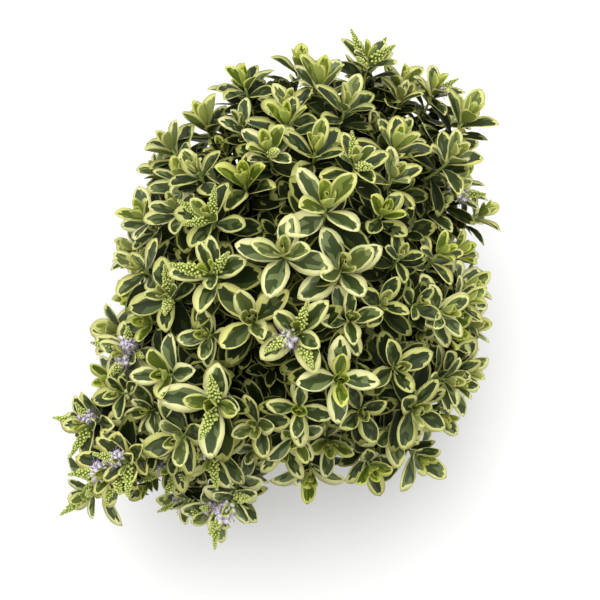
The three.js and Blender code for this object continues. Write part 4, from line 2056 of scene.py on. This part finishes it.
    def _grow_raceme(self, shoot: Shoot, k: int) -> None:
        """Sets one raceme in a leaf axil.

        Args:
            shoot: Its shoot.
            k: Which of the shoot's racemes it is, two to a pair of leaves.
        """
        level, chance = self.first_axil + k // 2, shoot.chance
        pair = shoot.order.value[level]
        share = 1 - (pair.below - self.axil_rise) / shoot.line.length
        node, stem = shoot.line.point(share), shoot.line.tangent(share)
        turn = shoot.first_turn + (level * 0.5 + k) * math.pi
        turn += chance.between(-self.raceme_stray, self.raceme_stray)
        rank = turned_about(across(stem), stem, turn)
        angle = math.radians(pair.open_deg - chance.between(*self.axil_angle))
        size = chance.between(*self.raceme_size) * shoot.vigour
        place = facing(node, leaning(stem, rank, angle), -stem) @ Matrix.Scale(size, 4)
        points = [place @ Vector((x, 0, 0)) for x in self.raceme_spots]
        self.crowding.add(points, self.raceme_owner - shoot.number)
        spike = Spike(int(chance.next() * self.raceme_variants), k < shoot.blooms, place)
        self.spikes.setdefault(shoot.mass.name, []).append(spike)

    # -- pieces --

    def build(self) -> None:
        """Grows the crown and makes all of its pieces."""
        self.grow_twigs()
        self.grow_racemes()
        self.grow_leaves()
        self.trunk.build()
        for bough in self.boughs:
            bough.build()
        leaves = {
            (age, v): LeafPattern(age, self.leaf_seed_step * v + self.leaf_seed).mesh()
            for age in Age
            for v in range(self.leaf_variants)
        }
        racemes = {
            (v, flowers > 0): Raceme(self.raceme_seed + v, flowers).mesh()
            for v in range(self.raceme_variants)
            for flowers in (0, self.open_flowers)
        }
        for mass in self.masses:
            self._build_twigs(mass)
            self._build_leaves(mass, leaves)
            self._build_racemes(mass, racemes)

    def _build_twigs(self, mass: Mass) -> None:
        """Makes a mass's stem and twigs.

        Args:
            mass: The mass.
        """
        finishes = [STEM_OLD, STEM_YOUNG]
        piece = Piece(f"twigs_{mass.name}")
        piece.add(tube(self.stems[mass.name], self.stem_radii, self.stem_sides), finishes)
        for shoot in self.grown:
            if shoot.mass is not mass:
                continue
            finer = shoot.order in (Order.SIDE, Order.LOW)
            base = self.fork_radius * (self.finer_base if finer else 1)
            tip = self.twig_radius * (self.finer_tip if finer else 1)
            steps = self.twig_steps
            radii = [base + (tip - base) * i / steps for i in range(steps + 1)]
            piece.add(tube(shoot.line, radii, self.twig_sides, self.young_from), finishes)
        piece.placed("foliage")

    def _build_leaves(self, mass: Mass, patterns: dict[tuple[Age, int], bpy.types.Mesh]) -> None:
        """Makes a mass's leaves.

        Args:
            mass: The mass.
            patterns: The leaf patterns, by age and variant.
        """
        piece = Piece(f"leaves_{mass.name}")
        for blade in self.blades[mass.name]:
            pattern = patterns[(blade.age, blade.variant)]
            piece.add(pattern, blade.tones.finishes(), blade.place)
        piece.placed("foliage", f"foliage_{mass.name}")

    def _build_racemes(self, mass: Mass, patterns: dict[tuple[int, bool], bpy.types.Mesh]) -> None:
        """Makes a mass's racemes, where it has any.

        Args:
            mass: The mass.
            patterns: The raceme patterns, by variant and whether they are in bloom.
        """
        if mass.name not in self.spikes:
            return
        piece = Piece(f"racemes_{mass.name}")
        for spike in self.spikes[mass.name]:
            pattern = patterns[(spike.variant, spike.in_bloom)]
            piece.add(pattern, RACEME_FINISHES, spike.place)
        piece.placed("foliage")


# ---- Pot and soil ----------------------------------------------------------------------


@dataclass(frozen=True)
class NurseryPot:
    """A plain round nursery pot with a banded rim and drain holes, and its root ball."""

    height: float = 125.0
    base_radius: float = 54.0
    shoulder_radius: float = 70.0
    shoulder_height: float = 108.0
    rim_radius: float = 75.0
    wall: float = 2.0
    floor: float = 2.4
    clearance: float = 0.3
    turns: int = 96
    weld: float = 1e-3
    sharp_from: float = 40.0
    # Rounded corners, as steps out and up from each corner's plain place.
    foot_corner: tuple[Span, ...] = ((-5, 0), (-1.2, 0.1), (-0.1, 0.6), (0.25, 2))
    ring_heights: tuple[float, ...] = (34.0, 70.0)
    ring_groove: tuple[Span, ...] = ((-0.15, -1.2), (-0.7, 0), (0.05, 1.2))
    band_corner: tuple[Span, ...] = ((-1.6, 0.7), (-0.9, 1.3), (-0.5, 2.4))
    lip: tuple[Span, ...] = (
        (0, -2.2),
        (-0.2, -0.9),
        (-0.8, -0.15),
        (-1.5, -0.05),
        (-2.2, -0.6),
        (-2.9, -3),
    )
    band_depth: float = 1.5
    band_top: float = 4.0
    band_foot: float = 2.0
    # Drain holes.
    drains: int = 4
    drain_radius: float = 5.0
    drain_circle: float = 40.0
    drain_sides: int = 24
    # The root ball, with a crumbled top that lies flat at the trunk's foot and at the wall.
    soil_top: float = 110.0
    soil_rings: int = 26
    edge_drop: float = 2.0
    edge_rise: float = 1.6
    top_from: float = 1.0
    crumble: tuple[Span, ...] = ((6, 1.1), (2.2, 0.7))
    flat_foot: float = 9.0
    flat_foot_fade: float = 10.0
    flat_wall_fade: float = 3.0
    # The crumbs that lie on it.
    crumbs: int = 170
    crumb_seed: int = 404
    crumb_spread: Span = (0.07, 0.9)
    crumb_size: Span = (0.8, 2.6)
    crumb_length: Span = (0.8, 1.7)
    crumb_height: Span = (0.4, 0.8)
    crumb_dents: Span = (0.8, 1.15)
    crumb_sunk: float = 0.2
    crumb_tilt: float = 0.4
    full_turn: float = 6.283
    perlite_every: int = 6

    @property
    def slope(self) -> float:
        """How much wider the pot grows for each millimetre of height."""
        return (self.shoulder_radius - self.base_radius) / self.shoulder_height

    def _inner(self, height: float) -> float:
        """Returns the pot's inner radius at a height."""
        return self.base_radius + self.slope * height - self.wall

    @staticmethod
    def _round(radius: float, height: float, steps: Sequence[Span]) -> list[Span]:
        """Returns the points of a rounded corner, as steps out and up from its plain place."""
        return [(radius + out, height + up) for out, up in steps]

    def _profile(self) -> list[Span]:
        """Draws the pot's section, up its outside, over its lip and down its inside.

        Returns:
            Its points, as radius and height.
        """
        shoulder = self.shoulder_height
        grooves = [
            point
            for ring in self.ring_heights
            for point in self._round(self.base_radius + self.slope * ring, ring, self.ring_groove)
        ]
        return [
            (0, 0),
            *self._round(self.base_radius, 0, self.foot_corner),
            *grooves,
            (self.shoulder_radius, shoulder),
            *self._round(self.rim_radius, shoulder, self.band_corner),
            *self._round(self.rim_radius, self.height, self.lip),
            (self.rim_radius - self.wall - self.band_depth, shoulder + self.band_top),
            (self._inner(shoulder), shoulder + self.band_foot),
            (self._inner(self.floor), self.floor),
            (0, self.floor),
        ]

    def _spun(self, profile: Sequence[Span]) -> bmesh.types.BMesh:
        """Spins a section about the upright axis.

        Args:
            profile: Its points, as radius and height, from axis to axis.

        Returns:
            The closed shape.
        """
        bm = bmesh.new()
        first = math.pi / self.turns
        verts = [
            bm.verts.new((radius * math.cos(first), radius * math.sin(first), height))
            for radius, height in profile
        ]
        edges = [bm.edges.new(pair) for pair in zip(verts, verts[1:])]
        bmesh.ops.spin(
            bm,
            geom=verts + edges,
            cent=(0, 0, 0),
            axis=(0, 0, 1),
            angle=2 * math.pi,
            steps=self.turns,
            use_merge=True,
        )
        bmesh.ops.remove_doubles(bm, verts=bm.verts[:], dist=self.weld)
        bmesh.ops.recalc_face_normals(bm, faces=bm.faces[:])
        return in_order(bm)

    def _drills(self) -> bmesh.types.BMesh:
        """Makes the cylinders that cut the drain holes.

        Returns:
            The cylinders.
        """
        bm = bmesh.new()
        for k in range(self.drains):
            angle = (k + 0.5) / self.drains * 2 * math.pi
            made = bmesh.ops.create_cone(
                bm,
                cap_ends=True,
                segments=self.drain_sides,
                radius1=self.drain_radius,
                radius2=self.drain_radius,
                depth=4 * self.floor,
            )["verts"]
            spot = (self.drain_circle * math.cos(angle), self.drain_circle * math.sin(angle), 0)
            bmesh.ops.translate(bm, vec=spot, verts=made)
        return bm

    def build_pot(self) -> None:
        """Makes the pot, with its drain holes cut through its floor."""
        cut = bpy.data.objects.new("pot_shell", mesh_of(self._spun(self._profile()), "pot_shell"))
        drill = bpy.data.objects.new("pot_drills", mesh_of(self._drills(), "pot_drills"))
        for helper in (cut, drill):
            bpy.context.scene.collection.objects.link(helper)
        boolean = cut.modifiers.new("drains", "BOOLEAN")
        boolean.operation, boolean.object, boolean.solver = "DIFFERENCE", drill, "EXACT"
        bpy.context.view_layer.update()
        graph = bpy.context.evaluated_depsgraph_get()
        shell = bpy.data.meshes.new_from_object(cut.evaluated_get(graph))
        for helper in (cut, drill):
            bpy.data.objects.remove(helper)
        shell.set_sharp_from_angle(angle=math.radians(self.sharp_from))
        piece = Piece("nursery_pot")
        piece.add(shell, [POT_PLASTIC])
        piece.placed("pot_plastic", "pot")

    def build_soil(self) -> None:
        """Makes the root ball with its crumbly top, and the crumbs that lie on it."""
        bottom = self.floor + self.clearance
        edge = self.soil_top - self.edge_drop
        rim = self._inner(edge) - self.clearance
        rings = self.soil_rings
        top = [
            (rim * (1 - i / rings), edge + self.edge_drop * min(1, self.edge_rise * i / rings))
            for i in range(rings + 1)
        ]
        bm = self._spun([(0, bottom), (self._inner(bottom) - self.clearance, bottom), *top])
        for vert in bm.verts:
            if vert.co.z > edge - self.top_from:
                radius = math.hypot(vert.co.x, vert.co.y)
                rough = sum(noise.noise(vert.co / grain) * height for grain, height in self.crumble)
                by_foot = min(1, max(0.0, (radius - self.flat_foot) / self.flat_foot_fade))
                by_wall = min(1, max(0.0, (rim - radius) / self.flat_wall_fade))
                vert.co.z += rough * by_foot * by_wall
        piece = Piece("compost")
        piece.add(mesh_of(bm, "root_ball"), [COMPOST])
        self._scatter_crumbs(piece, rim)
        piece.placed("potting_soil", "soil")

    def _scatter_crumbs(self, piece: Piece, rim: float) -> None:
        """Strews crumbs of compost, bark and perlite on the root ball.

        Args:
            piece: The piece that they join.
            rim: The root ball's radius at its top.
        """
        chance = Chance(self.crumb_seed)
        for k in range(self.crumbs):
            radius = rim * math.sqrt(chance.between(*self.crumb_spread))
            around = chance.between(0, self.full_turn)
            spot = (radius * math.cos(around), radius * math.sin(around))
            size = chance.between(*self.crumb_size)
            length = size * chance.between(*self.crumb_length)
            height = size * chance.between(*self.crumb_height)
            crumb = bmesh.new()
            bmesh.ops.create_icosphere(crumb, subdivisions=1, radius=1)
            bmesh.ops.scale(crumb, vec=(length, size, height), verts=crumb.verts[:])
            for vert in crumb.verts:
                vert.co *= chance.between(*self.crumb_dents)
            turn = Matrix.Rotation(chance.between(0, self.full_turn), 4, "Z")
            tilt = Matrix.Rotation(chance.between(-self.crumb_tilt, self.crumb_tilt), 4, "X")
            place = Matrix.Translation((*spot, self.soil_top - self.crumb_sunk)) @ turn @ tilt
            plain = BARK_CRUMB if k % 2 else COMPOST
            finish = plain if k % self.perlite_every else PERLITE
            piece.add(mesh_of(crumb, "crumb"), [finish], place)


# ---- Stage -----------------------------------------------------------------------------


@dataclass(frozen=True)
class Softbox:
    """One soft square light that faces the crown: its place and side in metres, its watts."""

    name: str
    place: tuple[float, float, float]
    side: float
    power: float


@dataclass(frozen=True)
class Studio:
    """The pale floor, the soft lights and the camera, in metres."""

    target: Vector = field(default_factory=lambda: Vector((0.0, -0.014, 0.205)))
    distance: float = 0.78
    elevation: float = 70.0
    lens: float = 58.5
    sensor: float = 36.0
    floor: PlainFinish = PlainFinish("studio_floor", (246, 246, 246), roughness=0.9, specular=0.2)
    floor_reach: float = 40.0
    sky: tuple[float, float, float, float] = (1.0, 0.99, 0.97, 1.0)
    sky_strength: float = 0.42
    softboxes: tuple[Softbox, ...] = (
        Softbox("key_softbox", (-0.22, 0.3, 1.75), 1.7, 26.0),
        Softbox("front_softbox", (0.35, -1.2, 1.5), 1.2, 5.0),
        Softbox("back_softbox", (0.3, 1.5, 1.0), 1.0, 3.0),
        Softbox("left_softbox", (-1.6, -0.3, 0.9), 1.2, 9.5),
        Softbox("right_softbox", (1.6, -0.3, 0.9), 1.2, 12.0),
    )

    def build(self) -> None:
        """Makes the floor, the lights, the sky and the camera."""
        self._lay_floor()
        for softbox in self.softboxes:
            self._hang(softbox)
        self._light_sky()
        bpy.context.scene.view_settings.view_transform = "Standard"
        self._stand_camera()

    def _lay_floor(self) -> None:
        """Lays the floor, so wide that its edge is far off from any side."""
        bm = bmesh.new()
        bmesh.ops.create_grid(bm, x_segments=1, y_segments=1, size=self.floor_reach)
        mesh = bpy.data.meshes.new("studio_floor")
        bm.to_mesh(mesh)
        bm.free()
        mesh.materials.append(self.floor.material())
        floor = bpy.data.objects.new("studio_floor", mesh)
        bpy.context.scene.collection.objects.link(floor)

    def _light_sky(self) -> None:
        """Lights the scene evenly from all round."""
        world = bpy.data.worlds.new("studio_sky")
        bpy.context.scene.world = world
        world.use_nodes = True
        sky = world.node_tree.nodes["Background"]
        sky.inputs["Color"].default_value = self.sky
        sky.inputs["Strength"].default_value = self.sky_strength

    def _aim(self, name: str, data: bpy.types.ID, place: Vector) -> bpy.types.Object:
        """Adds a light or a camera that faces the crown.

        Args:
            name: Its name.
            data: Its light or camera data.
            place: Where it stands.

        Returns:
            The object.
        """
        made = bpy.data.objects.new(name, data)
        made.location = place
        made.rotation_mode = "QUATERNION"
        made.rotation_quaternion = (self.target - place).to_track_quat("-Z", "Y")
        bpy.context.scene.collection.objects.link(made)
        return made

    def _hang(self, softbox: Softbox) -> None:
        """Hangs one softbox.

        Args:
            softbox: Its place, size and power.
        """
        lamp = bpy.data.lights.new(softbox.name, "AREA")
        lamp.shape, lamp.size, lamp.energy = "SQUARE", softbox.side, softbox.power
        self._aim(softbox.name, lamp, Vector(softbox.place))

    def _stand_camera(self) -> None:
        """Stands the camera and makes it the scene's own."""
        camera = bpy.data.cameras.new("camera")
        camera.lens, camera.sensor_width = self.lens, self.sensor
        tilt = math.radians(self.elevation)
        back = Vector((0.0, -math.cos(tilt), math.sin(tilt)))
        bpy.context.scene.camera = self._aim("camera", camera, self.target + back * self.distance)


def main() -> None:
    """Builds the stage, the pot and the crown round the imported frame."""
    logging.basicConfig(level=logging.INFO, format="%(name)s: %(message)s")
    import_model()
    Studio().build()
    pot = NurseryPot()
    pot.build_pot()
    pot.build_soil()
    Crown().build()


if __name__ == "__main__":
    main()
